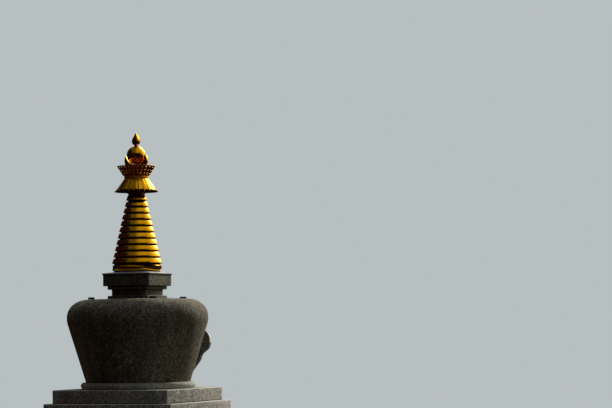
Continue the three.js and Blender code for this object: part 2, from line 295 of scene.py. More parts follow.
# What the gilding mirrors, each over those before it. Azimuth and elevation in degrees; it fades between two angles
# from there, and upwards between two heights, given as sines. Without an elevation it is as high as the sky.
MIRRORED_SKY = ("#f4f6ff", 0.105)
MIRRORED = {
    "bright_side": {"azimuth": 262, "fades": (75, 15), "light": ("#fffaf0", 0.42)},
    "dim_side": {"azimuth": 92, "fades": (66, 56), "below": (0.77, 0.67), "light": ("#ffb98a", 0.012)},
    "glow": {"azimuth": 350, "elevation": 20, "fades": (62, 26), "light": ("#fff6e0", 1.1)},
    "low_sun": {"azimuth": 350, "elevation": 30, "fades": (22, 8), "light": ("#fffaf0", 9.0)},
    "low_glow": {"azimuth": 75, "fades": (62, 35), "below": (0.3, 0.18), "light": ("#a8482a", 0.06)},
    "brown_side": {"azimuth": 200, "fades": (80, 62), "below": (0.47, 0.41), "light": ("#7a5a30", 0.07)},
    "horizon": {"below": (0.11, 0.04), "light": ("#6a4a33", 0.05)},
    "floor": {"below": (-0.35, -0.8), "light": ("#c07a48", 0.1)},
}


def linear(colour):
    """An sRGB hex colour as the linear values that a socket takes."""
    parts = [int(colour[i : i + 2], 16) / 255 for i in (1, 3, 5)]
    return [c / 12.92 if c <= 0.04045 else ((c + 0.055) / 1.055) ** 2.4 for c in parts] + [1.0]


def add(tree, kind, inputs=(), **settings):
    """Adds a node. Inputs are a list in the order of its sockets, or a dict by their identifiers or names.

    A value may be a node or a socket, to link to, or a plain value.
    """
    made = tree.nodes.new(kind)
    for setting, value in settings.items():
        setattr(made, setting, value)
    given = inputs if isinstance(inputs, dict) else dict(enumerate(inputs))
    for key, value in given.items():
        target = next((s for s in made.inputs if s.identifier == key), None) or made.inputs[key]
        if isinstance(value, bpy.types.Node):
            value = next(s for s in value.outputs if s.enabled)
        if isinstance(value, bpy.types.NodeSocket):
            tree.links.new(value, target)
        else:
            target.default_value = value
    return made


def colour_steps(tree, factor, stops):
    """Runs a factor through a ramp of (place, hex colour) stops."""
    ramp = add(tree, "ShaderNodeValToRGB", {"Fac": factor})
    while len(ramp.color_ramp.elements) < len(stops):
        ramp.color_ramp.elements.new(0.5)
    for element, (place, colour) in zip(ramp.color_ramp.elements, stops):
        element.position = place
        element.color = linear(colour)
    return ramp


def new_material(name):
    material = bpy.data.materials.new(name)
    material.use_nodes = True
    material.node_tree.nodes.clear()
    return material, material.node_tree


def close_material(tree, shader):
    add(tree, "ShaderNodeOutputMaterial", {"Surface": shader})


def granite(name, ground, pale, dark, stain, rubbed_and_lit, grain, roughness, pits):
    """Granite worked with a hammer or saw: pale and dark crystals, broad clouding, and a pitted skin.

    The crystals are a few millimetres across; grain is drawn coarser than that, so that it shows.
    Arrises are rubbed pale, which also paints in the light that the edges catch. Marked faces are darkened in
    patches: grime at the joints, and painted shade in the corner at a course's foot (with some grime), under a ledge
    and on the niche frame's faces turned from the light.
    """
    material, tree = new_material(name)
    place = add(tree, "ShaderNodeTexCoord").outputs["Object"]
    tone = add(tree, "ShaderNodeAttribute", attribute_name="tone").outputs["Fac"]
    shift = add(tree, "ShaderNodeVectorMath", {"Vector": (3.1, 5.7, 2.3), "Scale": tone}, operation="SCALE")
    shifted = add(tree, "ShaderNodeVectorMath", [place, shift.outputs[0]], operation="ADD")
    crystals = add(tree, "ShaderNodeTexVoronoi", {"Vector": shifted, "Scale": 1 / grain})
    speckle = colour_steps(
        tree,
        add(tree, "ShaderNodeSeparateColor", {"Color": crystals.outputs["Color"]}).outputs["Red"],
        [(0.0, dark), (0.16, dark), (0.24, ground), (0.72, ground), (0.85, pale), (1.0, pale)],
    )
    fine = add(tree, "ShaderNodeTexNoise", {"Vector": shifted, "Scale": 0.6 / grain, "Detail": 4.0, "Roughness": 0.7})
    clouds = add(tree, "ShaderNodeTexNoise", {"Vector": shifted, "Scale": 5.0, "Detail": 5.0, "Roughness": 0.6})
    even_parts = add(tree, "ShaderNodeMapRange", {"Value": fine, "From Min": 0.3, "From Max": 0.7})
    mix = {"Factor_Float": even_parts, "A_Color": speckle, "B_Color": linear(ground)}
    body = add(tree, "ShaderNodeMix", mix, data_type="RGBA")
    stains = add(tree, "ShaderNodeMapRange", {"Value": clouds, "From Min": 0.45, "From Max": 0.75, "To Max": 0.55})
    mix = {"Factor_Float": stains, "A_Color": body, "B_Color": linear(stain)}
    stained = add(tree, "ShaderNodeMix", mix, data_type="RGBA")
    streak_place = add(tree, "ShaderNodeMapping", {"Vector": shifted, "Scale": (9.0, 9.0, 0.9)})
    streaks = add(tree, "ShaderNodeTexNoise", {"Vector": streak_place, "Scale": 1.0, "Detail": 3.0})
    limits = {"Value": streaks, "From Min": 0.3, "From Max": 0.7, "To Min": 0.7, "To Max": 1.25}
    shade = add(tree, "ShaderNodeMapRange", limits)
    block_shade = add(tree, "ShaderNodeMapRange", {"Value": tone, "From Min": -1.0, "To Min": 0.9, "To Max": 1.1})
    mottle = add(tree, "ShaderNodeTexNoise", {"Vector": shifted, "Scale": 42.0, "Detail": 3.0, "Roughness": 0.6})
    limits = {"Value": mottle, "From Min": 0.36, "From Max": 0.64, "To Min": 0.55, "To Max": 1.45}
    spots = add(tree, "ShaderNodeMapRange", limits)
    even = add(tree, "ShaderNodeMath", [shade, block_shade], operation="MULTIPLY")
    value = add(tree, "ShaderNodeMath", [even, spots], operation="MULTIPLY")
    washed = add(tree, "ShaderNodeHueSaturation", {"Color": stained, "Value": value})
    # Marked faces go pale: wear on the arrises, and a painted highlight where the edges catch the light
    arris = add(tree, "ShaderNodeAttribute", attribute_name="arris").outputs["Fac"]
    pale_edges = add(tree, "ShaderNodeMath", [arris, 0.9], operation="MULTIPLY")
    mix = {"Factor_Float": pale_edges, "A_Color": washed, "B_Color": linear(rubbed_and_lit)}
    edged = add(tree, "ShaderNodeMix", mix, data_type="RGBA")
    # Marked faces go near black in patches: grime at the joints, and painted shade in corners, under ledges and on
    # faces turned from the light
    grime = add(tree, "ShaderNodeAttribute", attribute_name="grime").outputs["Fac"]
    patchy = add(tree, "ShaderNodeMapRange", {"Value": clouds, "From Min": 0.3, "From Max": 0.7, "To Min": 0.75})
    dirt_and_shade = add(tree, "ShaderNodeMath", [grime, patchy], operation="MULTIPLY")
    mix = {"Factor_Float": dirt_and_shade, "A_Color": edged, "B_Color": linear("#12110e")}
    dirtied_and_shaded = add(tree, "ShaderNodeMix", mix, data_type="RGBA")
    hollows = add(tree, "ShaderNodeTexNoise", {"Vector": shifted, "Scale": 0.9 / grain, "Detail": 3.0})
    bump = add(tree, "ShaderNodeBump", {"Height": hollows, "Strength": pits, "Distance": grain * 0.5})
    gloss = add(tree, "ShaderNodeMapRange", {"Value": fine, "To Min": roughness - 0.1, "To Max": roughness + 0.1})
    sockets = {"Base Color": dirtied_and_shaded, "Roughness": gloss, "Normal": bump, "IOR": 1.54, "Specular IOR Level": 0.4}
    close_material(tree, add(tree, "ShaderNodeBsdfPrincipled", sockets))
    return material


def gilded_copper(name, gold, worn, roughness, waviness, edge="#ffffff"):
    """Fire-gilt beaten copper: a bright yellow mirror, wavy from the hammer, redder where it is worn."""
    material, tree = new_material(name)
    place = add(tree, "ShaderNodeTexCoord").outputs["Object"]
    wear = add(tree, "ShaderNodeTexNoise", {"Vector": place, "Scale": 14.0, "Detail": 6.0, "Roughness": 0.65})
    patches = add(tree, "ShaderNodeMapRange", {"Value": wear, "From Min": 0.5, "From Max": 0.72, "To Max": 0.6})
    mix = {"Factor_Float": patches, "A_Color": linear(gold), "B_Color": linear(worn)}
    colour = add(tree, "ShaderNodeMix", mix, data_type="RGBA")
    hammer = add(tree, "ShaderNodeTexNoise", {"Vector": place, "Scale": 16.0, "Detail": 1.0})
    grime = add(tree, "ShaderNodeTexNoise", {"Vector": place, "Scale": 60.0, "Detail": 4.0})
    limits = {"From Min": 0.3, "From Max": 0.7, "To Min": roughness - 0.05, "To Max": roughness + 0.08}
    gloss = add(tree, "ShaderNodeMapRange", {"Value": grime, **limits})
    bump = add(tree, "ShaderNodeBump", {"Height": hammer, "Strength": waviness, "Distance": 0.004})
    sockets = {"Base Color": colour, "Metallic": 1.0, "Specular Tint": linear(edge)}
    sockets.update({"Roughness": gloss, "Normal": bump})
    close_material(tree, add(tree, "ShaderNodeBsdfPrincipled", sockets))
    return material


def mottled(name, scale, detail, stops, roughness, stretch=None, relief=None, **shader):
    """A finish that drifts between two colours over patches, and between two roughnesses where it has a pair.

    Stretch draws the patches out into lines; relief is the strength and depth of a bump from them. Other values are
    the shader's, by the names of its sockets with _ for a space.
    """
    material, tree = new_material(name)
    place = add(tree, "ShaderNodeTexCoord").outputs["Object"]
    if stretch:
        place = add(tree, "ShaderNodeMapping", {"Vector": place, "Scale": stretch})
    patches = add(tree, "ShaderNodeTexNoise", {"Vector": place, "Scale": scale, "Detail": detail})
    sockets = {"Base Color": colour_steps(tree, patches, stops), "Roughness": roughness}
    sockets.update({socket.replace("_", " "): value for socket, value in shader.items()})
    if isinstance(roughness, tuple):
        spread = {"Value": patches, "To Min": roughness[0], "To Max": roughness[1]}
        sockets["Roughness"] = add(tree, "ShaderNodeMapRange", spread)
    if relief:
        bump = {"Height": patches, "Strength": relief[0], "Distance": relief[1]}
        sockets["Normal"] = add(tree, "ShaderNodeBump", bump)
    close_material(tree, add(tree, "ShaderNodeBsdfPrincipled", sockets))
    return material


def rubble_masonry():
    """Mortared rubble of the throne's core: rough stones of a hand's width in lime mortar."""
    material, tree = new_material("rubble_masonry")
    place = add(tree, "ShaderNodeTexCoord").outputs["Object"]
    stones = add(tree, "ShaderNodeTexVoronoi", {"Vector": place, "Scale": 9.0}, feature="DISTANCE_TO_EDGE")
    colour = colour_steps(tree, stones, [(0.0, "#9a9183"), (0.06, "#9a9183"), (0.1, "#6f675b"), (1.0, "#7d7568")])
    bump = add(tree, "ShaderNodeBump", {"Height": stones, "Strength": 0.6, "Distance": 0.01})
    sockets = {"Base Color": colour, "Roughness": 0.95, "Normal": bump}
    close_material(tree, add(tree, "ShaderNodeBsdfPrincipled", sockets))
    return material


# Colours of the granites: ground, pale and dark crystals, stains, and rubbed arrises, which also paint in the light
# that the edges catch
STEP_COLOURS = ("#a7a59a", "#e6e3da", "#4a4840", "#938d7c", "#f4f2ea")
VASE_COLOURS = ("#757061", "#b2ae9c", "#27251d", "#605744", "#b9b6a8")
HARMIKA_COLOURS = ("#5b574b", "#928c7b", "#272520", "#4d473a", "#9f9a8a")
STEP_GRANITE = granite("hammered_grey_granite", *STEP_COLOURS, grain=0.010, roughness=0.8, pits=0.7)
VASE_GRANITE = granite("bush_hammered_dark_granite", *VASE_COLOURS, grain=0.012, roughness=0.85, pits=0.9)
HARMIKA_GRANITE = granite("sawn_dark_granite", *HARMIKA_COLOURS, grain=0.009, roughness=0.7, pits=0.4)
# Lime mortar in the joints: matt, sandy and a little darker than the stone
MORTAR = mottled("lime_mortar", 180.0, 3.0, [(0.3, "#3d3831"), (0.7, "#6a6357")], 0.95, relief=(0.4, 0.002))
GOLD = gilded_copper("fire_gilt_copper", "#fdb914", "#eda21a", roughness=0.15, waviness=0.25)
TARNISHED = gilded_copper("tarnished_gilding", "#7a4a12", "#3a1c08", roughness=0.45, waviness=0.3)
DULL = gilded_copper("dull_gilding", "#9c6a1a", "#623a10", roughness=0.3, waviness=0.3)
AGED = gilded_copper("aged_gilding", "#c98a1c", "#8a5415", roughness=0.2, waviness=0.3)
WORN = gilded_copper("worn_gilding", "#b67c0c", "#5e3206", roughness=0.2, waviness=0.2, edge="#ffd88c")
# Copper that has lost its gilding in creases and grooves: black-brown, dull. In the rings' grooves and the cushion's
# fold and foot it also stands for painted shade
CRUST = [(0.35, "#120904"), (0.7, "#241209")]
OXIDISED = mottled("oxidised_copper", 70.0, 4.0, CRUST, (0.6, 0.9), Specular_IOR_Level=0.05)
# Weathered sheet lead: dull grey with a soft sheen of the sky and chalky patches; its colour is made paler than the
# lead's own, as a painted sheen of the bright sky
LEAD = mottled("weathered_sheet_lead", 25.0, 5.0, [(0.35, "#ced2d2"), (0.7, "#e0e2e2")], (0.3, 0.5))
# Blackened bronze lugs and the slab's drip edge: near black, satin, dusty in patches
DUST = [(0.35, "#0b0a09"), (0.75, "#211f1b")]
BRONZE = mottled("blackened_bronze", 90.0, 4.0, DUST, (0.6, 0.9), Specular_IOR_Level=0.2)
# Drawn steel tube: grey, with fine lines along its length
LINES = [(0.3, "#6b6d70"), (0.7, "#8d9093")]
STEEL = mottled("drawn_steel", 1.0, 2.0, LINES, (0.35, 0.55), stretch=(400.0, 400.0, 4.0), Metallic=1.0)
RUBBLE = rubble_masonry()


def mesh_of(form, name, smooth_angle=30):
    """Turns a bmesh into a mesh, smooth except at edges sharper than the angle."""
    mesh = bpy.data.meshes.new(name)
    form.to_mesh(mesh)
    form.free()
    mesh.shade_smooth()
    mesh.set_sharp_from_angle(angle=math.radians(smooth_angle))
    return mesh


def put(name, data):
    """A new object in the scene, at the origin."""
    made = bpy.data.objects.new(name, data)
    bpy.context.scene.collection.objects.link(made)
    return made


def settled(made, smooth_angle=30):
    """Takes an object's modifiers into a plain mesh and removes the object."""
    graph = bpy.context.evaluated_depsgraph_get()
    mesh = bpy.data.meshes.new_from_object(made.evaluated_get(graph))
    bpy.data.objects.remove(made)
    mesh.shade_smooth()
    mesh.set_sharp_from_angle(angle=math.radians(smooth_angle))
    return mesh


def combined(mesh, tool, operation):
    """The mesh joined with the tool mesh, or cut by it."""
    base = put("work", mesh)
    other = put("work", tool)
    modifier = base.modifiers.new("boolean", "BOOLEAN")
    modifier.operation = operation
    modifier.solver = "EXACT"
    modifier.object = other
    result = settled(base)
    bpy.data.objects.remove(other)
    return result


def set_finishes(mesh, finishes):
    """Gives a mesh its finishes, each face keeping the index of its own."""
    indices = [face.material_index for face in mesh.polygons]
    mesh.materials.clear()
    for finish in finishes:
        mesh.materials.append(finish)
    mesh.polygons.foreach_set("material_index", indices)


def all_in(mesh, index):
    """The mesh with every face in the finish of that index."""
    mesh.polygons.foreach_set("material_index", [index] * len(mesh.polygons))
    return mesh


def wear_layers(form):
    """The face layers that the granite reads: how pale an edge is rubbed, which also paints in the light it catches,
    how toned a face is, and how dark it is made with grime and painted shade.
    """
    return [form.faces.layers.float.new(layer) for layer in ("arris", "tone", "grime")]


def turns_of(count):
    """Angles of so many equal steps round the axis."""
    return [2 * math.pi * i / count for i in range(count)]


def faces_between(form, lower, upper):
    """Faces between two closed loops of as many corners; corners that coincide are taken once."""
    made = []
    for i in range(len(lower)):
        j = (i + 1) % len(lower)
        corners = [lower[i], lower[j], upper[j], upper[i]]
        made.append(form.faces.new(list(dict.fromkeys(corners))))
    return made


def thickened(mesh, thickness, inner_finish=0):
    """Gives an open sheet its thickness, inwards from its outer face; the inner face may have its own finish."""
    set_finishes(mesh, (GOLD, TARNISHED, OXIDISED))
    made = put("work", mesh)
    modifier = made.modifiers.new("thickness", "SOLIDIFY")
    modifier.thickness = thickness
    modifier.offset = -1
    modifier.material_offset = inner_finish
    return settled(made)


def place_piece(name, mesh, slot, finishes, *nodes):
    """Makes the finished object that stands for the named nodes."""
    piece = put(name, mesh)
    set_finishes(mesh, finishes)
    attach(piece, "root")
    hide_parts(*nodes)


def joined(meshes, name="joined"):
    """One mesh from several, each keeping the index of its finish."""
    form = bmesh.new()
    for mesh in meshes:
        form.from_mesh(mesh)
    result = bpy.data.meshes.new(name)
    form.to_mesh(result)
    form.free()
    return result


def turned(profile, segments=ROUND, closed=False, base=0.0):
    """A bmesh turned round the axis from (radius, height) points, listed anticlockwise."""
    form = bmesh.new()
    rings = []
    for radius, height in profile:
        if radius == 0:
            rings.append([form.verts.new((0, 0, base + height))] * segments)
            continue
        places = [(radius * math.cos(a), radius * math.sin(a), base + height) for a in turns_of(segments)]
        rings.append([form.verts.new(place) for place in places])
    pairs = list(zip(rings, rings[1:]))
    if closed:
        pairs.append((rings[-1], rings[0]))
    for lower, upper in pairs:
        faces_between(form, lower, upper)
    return form


def arc(centre, width, height, start, end, steps):
    """Points of an elliptical arc as (radius, height), between two angles in radians."""
    angles = [start + (end - start) * i / steps for i in range(steps + 1)]
    return [(centre[0] + width * math.cos(a), centre[1] + height * math.sin(a)) for a in angles]


def full_quarter(centre, width, height, fullness, steps):
    """Points of a quarter from outward to upright that is fuller than an ellipse, as (radius, height)."""
    angles = [math.pi / 2 * i / steps for i in range(steps + 1)]
    power = 2 / fullness
    across, up = centre
    return [(across + width * max(0.0, math.cos(a)) ** power, up + height * math.sin(a) ** power) for a in angles]


def squared(profile):
    """A square course from (half side, height) points, from its foot to its top."""
    form = bmesh.new()
    wear_layers(form)
    corners = [(1, -1), (1, 1), (-1, 1), (-1, -1)]
    rings = [[form.verts.new((half * x, half * y, height)) for x, y in corners] for half, height in profile]
    for lower, upper in zip(rings, rings[1:]):
        faces_between(form, lower, upper)
    form.faces.new(rings[0][::-1])
    form.faces.new(rings[-1])
    return form


def keep_between(form, axis, low, high):
    """Cuts away what lies outside two planes across the axis, and closes the cuts."""
    for place, side in ((low, -1), (high, 1)):
        if place is None:
            continue
        point, normal = Vector(), Vector()
        point[axis], normal[axis] = place, side
        everything = form.verts[:] + form.edges[:] + form.faces[:]
        cut = bmesh.ops.bisect_plane(form, geom=everything, plane_co=point, plane_no=normal, clear_outer=True)
        edges = [e for e in cut["geom_cut"] if isinstance(e, bmesh.types.BMEdge)]
        bmesh.ops.holes_fill(form, edges=edges, sides=0)


def ease_arrises(form, width, sharper_than=35):
    """Rounds the outward edges above the foot and marks the new faces, which are rubbed paler and so also paint in
    the light that the edges catch.
    """
    limit = math.radians(sharper_than)
    form.normal_update()
    foot = min(v.co.z for v in form.verts) + 0.0001
    edges = [
        e
        for e in form.edges
        if len(e.link_faces) == 2 and e.calc_face_angle_signed() > limit and max(v.co.z for v in e.verts) > foot
    ]
    rounding = {"segments": 2, "profile": 0.5, "affect": "EDGES", "clamp_overlap": True}
    made = bmesh.ops.bevel(form, geom=edges, offset=width, **rounding)
    mark = form.faces.layers.float["arris"]
    for face in made["faces"]:
        face[mark] = 1.0


def spans(cuts):
    """The stretches between the cuts, short of each by half a joint."""
    low = [None] + [c + JOINT / 2 for c in cuts]
    high = [c - JOINT / 2 for c in cuts] + [None]
    return list(zip(low, high))


def laid_course(name, profile, slot, stone, shade_and_grime_bands, arris_width=ARRIS):
    """A square course, laid in blocks where it has cuts, on a bed of mortar that shows in the joints.

    Its sides are darkened between the pairs of heights given after the stone: painted shade at a course's foot and
    under the stone above, with some grime there.
    """
    cuts = BLOCK_CUTS.get(name, ())
    blocks = []
    for across in spans(cuts):
        for along in spans(cuts):
            form = squared(profile)
            keep_between(form, 0, *across)
            keep_between(form, 1, *along)
            ease_arrises(form, arris_width)
            tone = form.faces.layers.float["tone"]
            shade = noise.noise(Vector((len(blocks) * 1.7 + 0.3, profile[0][1] * 9.1, profile[0][0] * 5.3)))
            grime = form.faces.layers.float["grime"]
            arris = form.faces.layers.float["arris"]
            for face in form.faces:
                face[tone] = shade
                middle = face.calc_center_median()
                face[grime] = float(any(low < middle.z < high for low, high in shade_and_grime_bands))
                if any(abs(place - cut) < ARRIS + JOINT for place in middle.xy for cut in cuts):
                    face[arris] = 0.0
                    face[grime] = JOINT_GRIME
            blocks.append(mesh_of(form, name))
    if cuts:
        inner = [(half - MORTAR_INSET, height) for half, height in profile]
        inner[0] = (inner[0][0], inner[0][1] + MORTAR_INSET)
        inner[-1] = (inner[-1][0], inner[-1][1] - MORTAR_INSET)
        blocks.append(all_in(mesh_of(squared(inner), name), 1))
    place_piece(name + "_stone", joined(blocks, name), slot, [stone, MORTAR], name)


def make_courses():
    for name in ("plinth_step_1", "plinth_step_2", "step_1", "step_2", "step_3", "step_4"):
        low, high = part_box(name)
        # The foot of each course is darkened: painted shade in the corner, with some grime
        foot_shade_top = low.z + FOOT_SHADE_AND_GRIME
        profile = [(high.x, low.z), (high.x, foot_shade_top), (high.x, high.z)]
        laid_course(name, profile, "granite_steps", STEP_GRANITE, [(low.z, foot_shade_top)])
    low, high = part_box("throne_base")
    base = [(high.x, low.z), (high.x, high.z - THRONE_BASE_SLOPE), (high.x - THRONE_BASE_SLOPE, high.z)]
    laid_course("throne_base", base, "granite_steps", STEP_GRANITE, [])
    for name, cove in CORNICE_COVES.items():
        low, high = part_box(name)
        hollow = arc((high.x, low.z), cove, cove, math.pi, math.pi / 2, 10)
        laid_course(name, hollow + [(high.x, high.z)], "granite_steps", STEP_GRANITE, [])
    for part in ("foot", "neck", "collar"):
        name = "harmika_" + part
        low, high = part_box(name)
        # Painted shade: the top of the neck and the collar is darkened under the stone above
        shaded = high.z - HARMIKA_PAINTED_SHADE
        profile = [(high.x, low.z), (high.x, shaded), (high.x, high.z)]
        shade_and_grime_bands = [(shaded, high.z)] if part != "foot" else []
        laid_course(name, profile, "granite_harmika", HARMIKA_GRANITE, shade_and_grime_bands, HARMIKA_ARRIS)


def make_harmika_slab():
    """The top stone, under a cover of sheet lead that is turned down over its edge and eases to a round seat."""
    low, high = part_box("harmika_slab")
    lip = high.x
    side = lip - SLAB["lip_reach"]
    edge = high.z - SLAB["weathering"]
    under = edge - SLAB["lip_height"]
    # Half side, height, and the finish of the faces above them and how dark they are made: dark at the foot, and
    # painted shadow under the lip
    levels = [
        (side, low.z, 0, 0.7),
        (side, low.z + SLAB["dark_foot"], 0, 0.0),
        (side, under - SLAB["shade_under_lip"], 0, 1.0),
        (side, under, 2, 0.0),
        (lip, under, 2, 0.0),
        (lip, edge - SLAB["bright"], 1, 0.0),
        (lip, edge, 1, 0.0),
    ]
    form = bmesh.new()
    grime = wear_layers(form)[2]
    turns = turns_of(SLAB["sides"])
    rings = []
    for half, height, _, _ in levels:
        # A circle taken out to the square round it
        grow = [half / max(abs(math.cos(a)), abs(math.sin(a))) for a in turns]
        rings.append([form.verts.new((g * math.cos(a), g * math.sin(a), height)) for g, a in zip(grow, turns)])
    seat = SLAB["seat_radius"]
    rings.append([form.verts.new((seat * math.cos(a), seat * math.sin(a), high.z)) for a in turns])
    for (_, _, finish, dirt_and_shade), lower, upper in zip(levels, rings, rings[1:]):
        for face in faces_between(form, lower, upper):
            face.material_index = finish
            face[grime] = dirt_and_shade
    form.faces.new(rings[0][::-1])
    form.faces.new(rings[-1]).material_index = 1
    ease_arrises(form, SLAB["arris"])
    finishes = [HARMIKA_GRANITE, LEAD, BRONZE]
    place_piece("harmika_slab_stone", mesh_of(form, "harmika_slab"), "granite_harmika", finishes, "harmika_slab")


def panelled_slab(name, quarter):
    """One slab of the throne, with a moulded sunk panel on its outer face; quarter turns it to its side."""
    low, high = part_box(name)
    length, thickness = high.x - low.x, high.y - low.y
    if quarter % 2:
        length, thickness = thickness, length
    outer = max(abs(low.x), abs(high.x), abs(low.y), abs(high.y))
    form = bmesh.new()
    arris, tone, grime = wear_layers(form)

    def rectangle(inset, y):
        x, foot, top = length / 2 - inset, low.z + inset, high.z - inset
        return [form.verts.new(corner) for corner in ((-x, y, foot), (x, y, foot), (x, y, top), (-x, y, top))]

    loops = [rectangle(0, -outer + thickness), rectangle(0, -outer)]
    loops += [rectangle(inset, -outer + depth) for inset, depth in PANEL_PROFILE]
    for level, (first, second) in enumerate(zip(loops, loops[1:])):
        for face in faces_between(form, first, second):
            face[arris], face[grime] = PANEL_WEAR.get(level, (0.0, 0.0))
    form.faces.new(loops[0][::-1])
    form.faces.new(loops[-1])
    bmesh.ops.recalc_face_normals(form, faces=form.faces[:])
    ease_arrises(form, ARRIS, 60)
    for face in form.faces:
        face[tone] = WALL_TONE * math.sin(2.1 * quarter + 0.7)
    turn = Matrix.Rotation(quarter * math.pi / 2, 3, "Z")
    bmesh.ops.rotate(form, verts=form.verts[:], cent=(0, 0, 0), matrix=turn)
    place_piece(name + "_stone", mesh_of(form, name), "granite_steps", [STEP_GRANITE], name)


def make_throne():
    for quarter, side in enumerate(("front", "right", "back", "left")):
        panelled_slab("throne_wall_" + side, quarter)


def vase_profile(grow=0.0):
    """Foot, straight leaning wall, belly, shoulder and a nearly flat top, above the vase's foot."""
    belly = arc((VASE_RADIUS - BELLY_RADIUS, VASE_WIDEST), BELLY_RADIUS, BELLY_RADIUS, -VASE_LEAN, 0, 10)
    shoulder = full_quarter((VASE_RADIUS - SHOULDER[0], VASE_WIDEST), *SHOULDER, SHOULDER_FULLNESS, 30)
    outline = [(VASE_FOOT_RADIUS + out, up) for out, up in VASE_FOOT_EDGE]
    outline += belly + shoulder[1:] + [(VASE_SEAT_RADIUS, VASE_TOP)]
    return [(0, 0)] + [(radius + grow, height) for radius, height in outline] + [(0, VASE_TOP)]


def arch_points(grow=0.0, steps=24):
    """The niche's opening as (x, height) points, anticlockwise from the sill, made larger by grow."""
    width = NICHE_HALF_WIDTH + grow
    arch = arc((0, NICHE_SPRING), width, width, 0, math.pi, steps)
    return [(-width, NICHE_SILL - grow), (width, NICHE_SILL - grow)] + arch


def prism(outline, front, back, base):
    """A level prism along Y from (x, height) points."""
    form = bmesh.new()
    near = [form.verts.new((x, -front, base + z)) for x, z in outline]
    far = [form.verts.new((x, -back, base + z)) for x, z in outline]
    form.faces.new(near)
    form.faces.new(far[::-1])
    for i in range(len(outline)):
        j = (i + 1) % len(outline)
        form.faces.new([near[j], near[i], far[i], far[j]])
    bmesh.ops.recalc_face_normals(form, faces=form.faces[:])
    return mesh_of(form, "prism")


def make_vase():
    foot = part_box("vase")[0].z
    body = mesh_of(turned(vase_profile(), base=foot), "vase")
    carved = combined(body, prism(arch_points(), 1.0, NICHE_BACK, foot), "DIFFERENCE")
    place_piece("vase_body", carved, "granite_vase", [VASE_GRANITE], "vase")
    low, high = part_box("vase_ring")
    half = (high.z - low.z) / 2
    edge = arc((high.x - half, low.z + half), half, half, -math.pi / 2, math.pi / 2, 20)
    ring = turned([(0, low.z)] + edge + [(0, high.z)])
    arris = ring.faces.layers.float.new("arris")
    # The outer half of the moulding is made paler: wear, and a painted highlight
    for face in ring.faces:
        if face.calc_center_median().xy.length > high.x - half:
            face[arris] = RING_WEAR_AND_HIGHLIGHT
    place_piece("vase_ring_moulding", mesh_of(ring, "vase_ring", 50), "granite_steps", [STEP_GRANITE], "vase_ring")


def through(points, steps):
    """A smooth curve through the points, with a few steps between each two of them."""
    line = [points[0]] + points + [points[-1]]
    result = []
    for a, b, c, d in zip(line, line[1:], line[2:], line[3:]):
        for i in range(steps):
            t = i / steps
            weights = (
                0.5 * (-t + 2 * t * t - t**3),
                0.5 * (2 - 5 * t * t + 3 * t**3),
                0.5 * (t + 4 * t * t - 3 * t**3),
                0.5 * (t**3 - t * t),
            )
            result.append(tuple(sum(w * p[k] for w, p in zip(weights, (a, b, c, d))) for k in (0, 1)))
    return result + [points[-1]]


def plate_outline():
    """The leaf-shaped outline as (x, height along the slope) points, anticlockwise from its foot."""
    right = [(width, (height - PLATE_BOTTOM) / math.cos(VASE_LEAN)) for height, width in PLATE_OUTLINE]
    tip = (0.0, (PLATE_TIP - PLATE_BOTTOM) / math.cos(VASE_LEAN))
    side = through(right + [tip], 5)
    return side + [(-x, u) for x, u in side[-2::-1]]


def inset_outline(points, distance):
    """The outline moved inwards, each point along the line that halves its corner."""
    moved = []
    count = len(points)
    for i in range(count):
        before = Vector(points[i]) - Vector(points[i - 1])
        after = Vector(points[(i + 1) % count]) - Vector(points[i])
        normals = [Vector((-edge.y, edge.x)).normalized() for edge in (before, after)]
        middle = (normals[0] + normals[1]).normalized()
        reach = distance / max(middle.dot(normals[0]), 0.5)
        moved.append(tuple(Vector(points[i]) + middle * reach))
    return moved


def plate_matrix(foot):
    """Takes (x, along the slope, out of the face) to the stupa's own frame."""
    slope = math.tan(VASE_LEAN)
    distance = PLATE_DISTANCE - slope * (PLATE_LEVEL - PLATE_BOTTOM)
    turn = Matrix.Rotation(math.pi / 2 + VASE_LEAN, 4, "X")
    return Matrix.Translation((0, -distance, foot + PLATE_BOTTOM)) @ turn


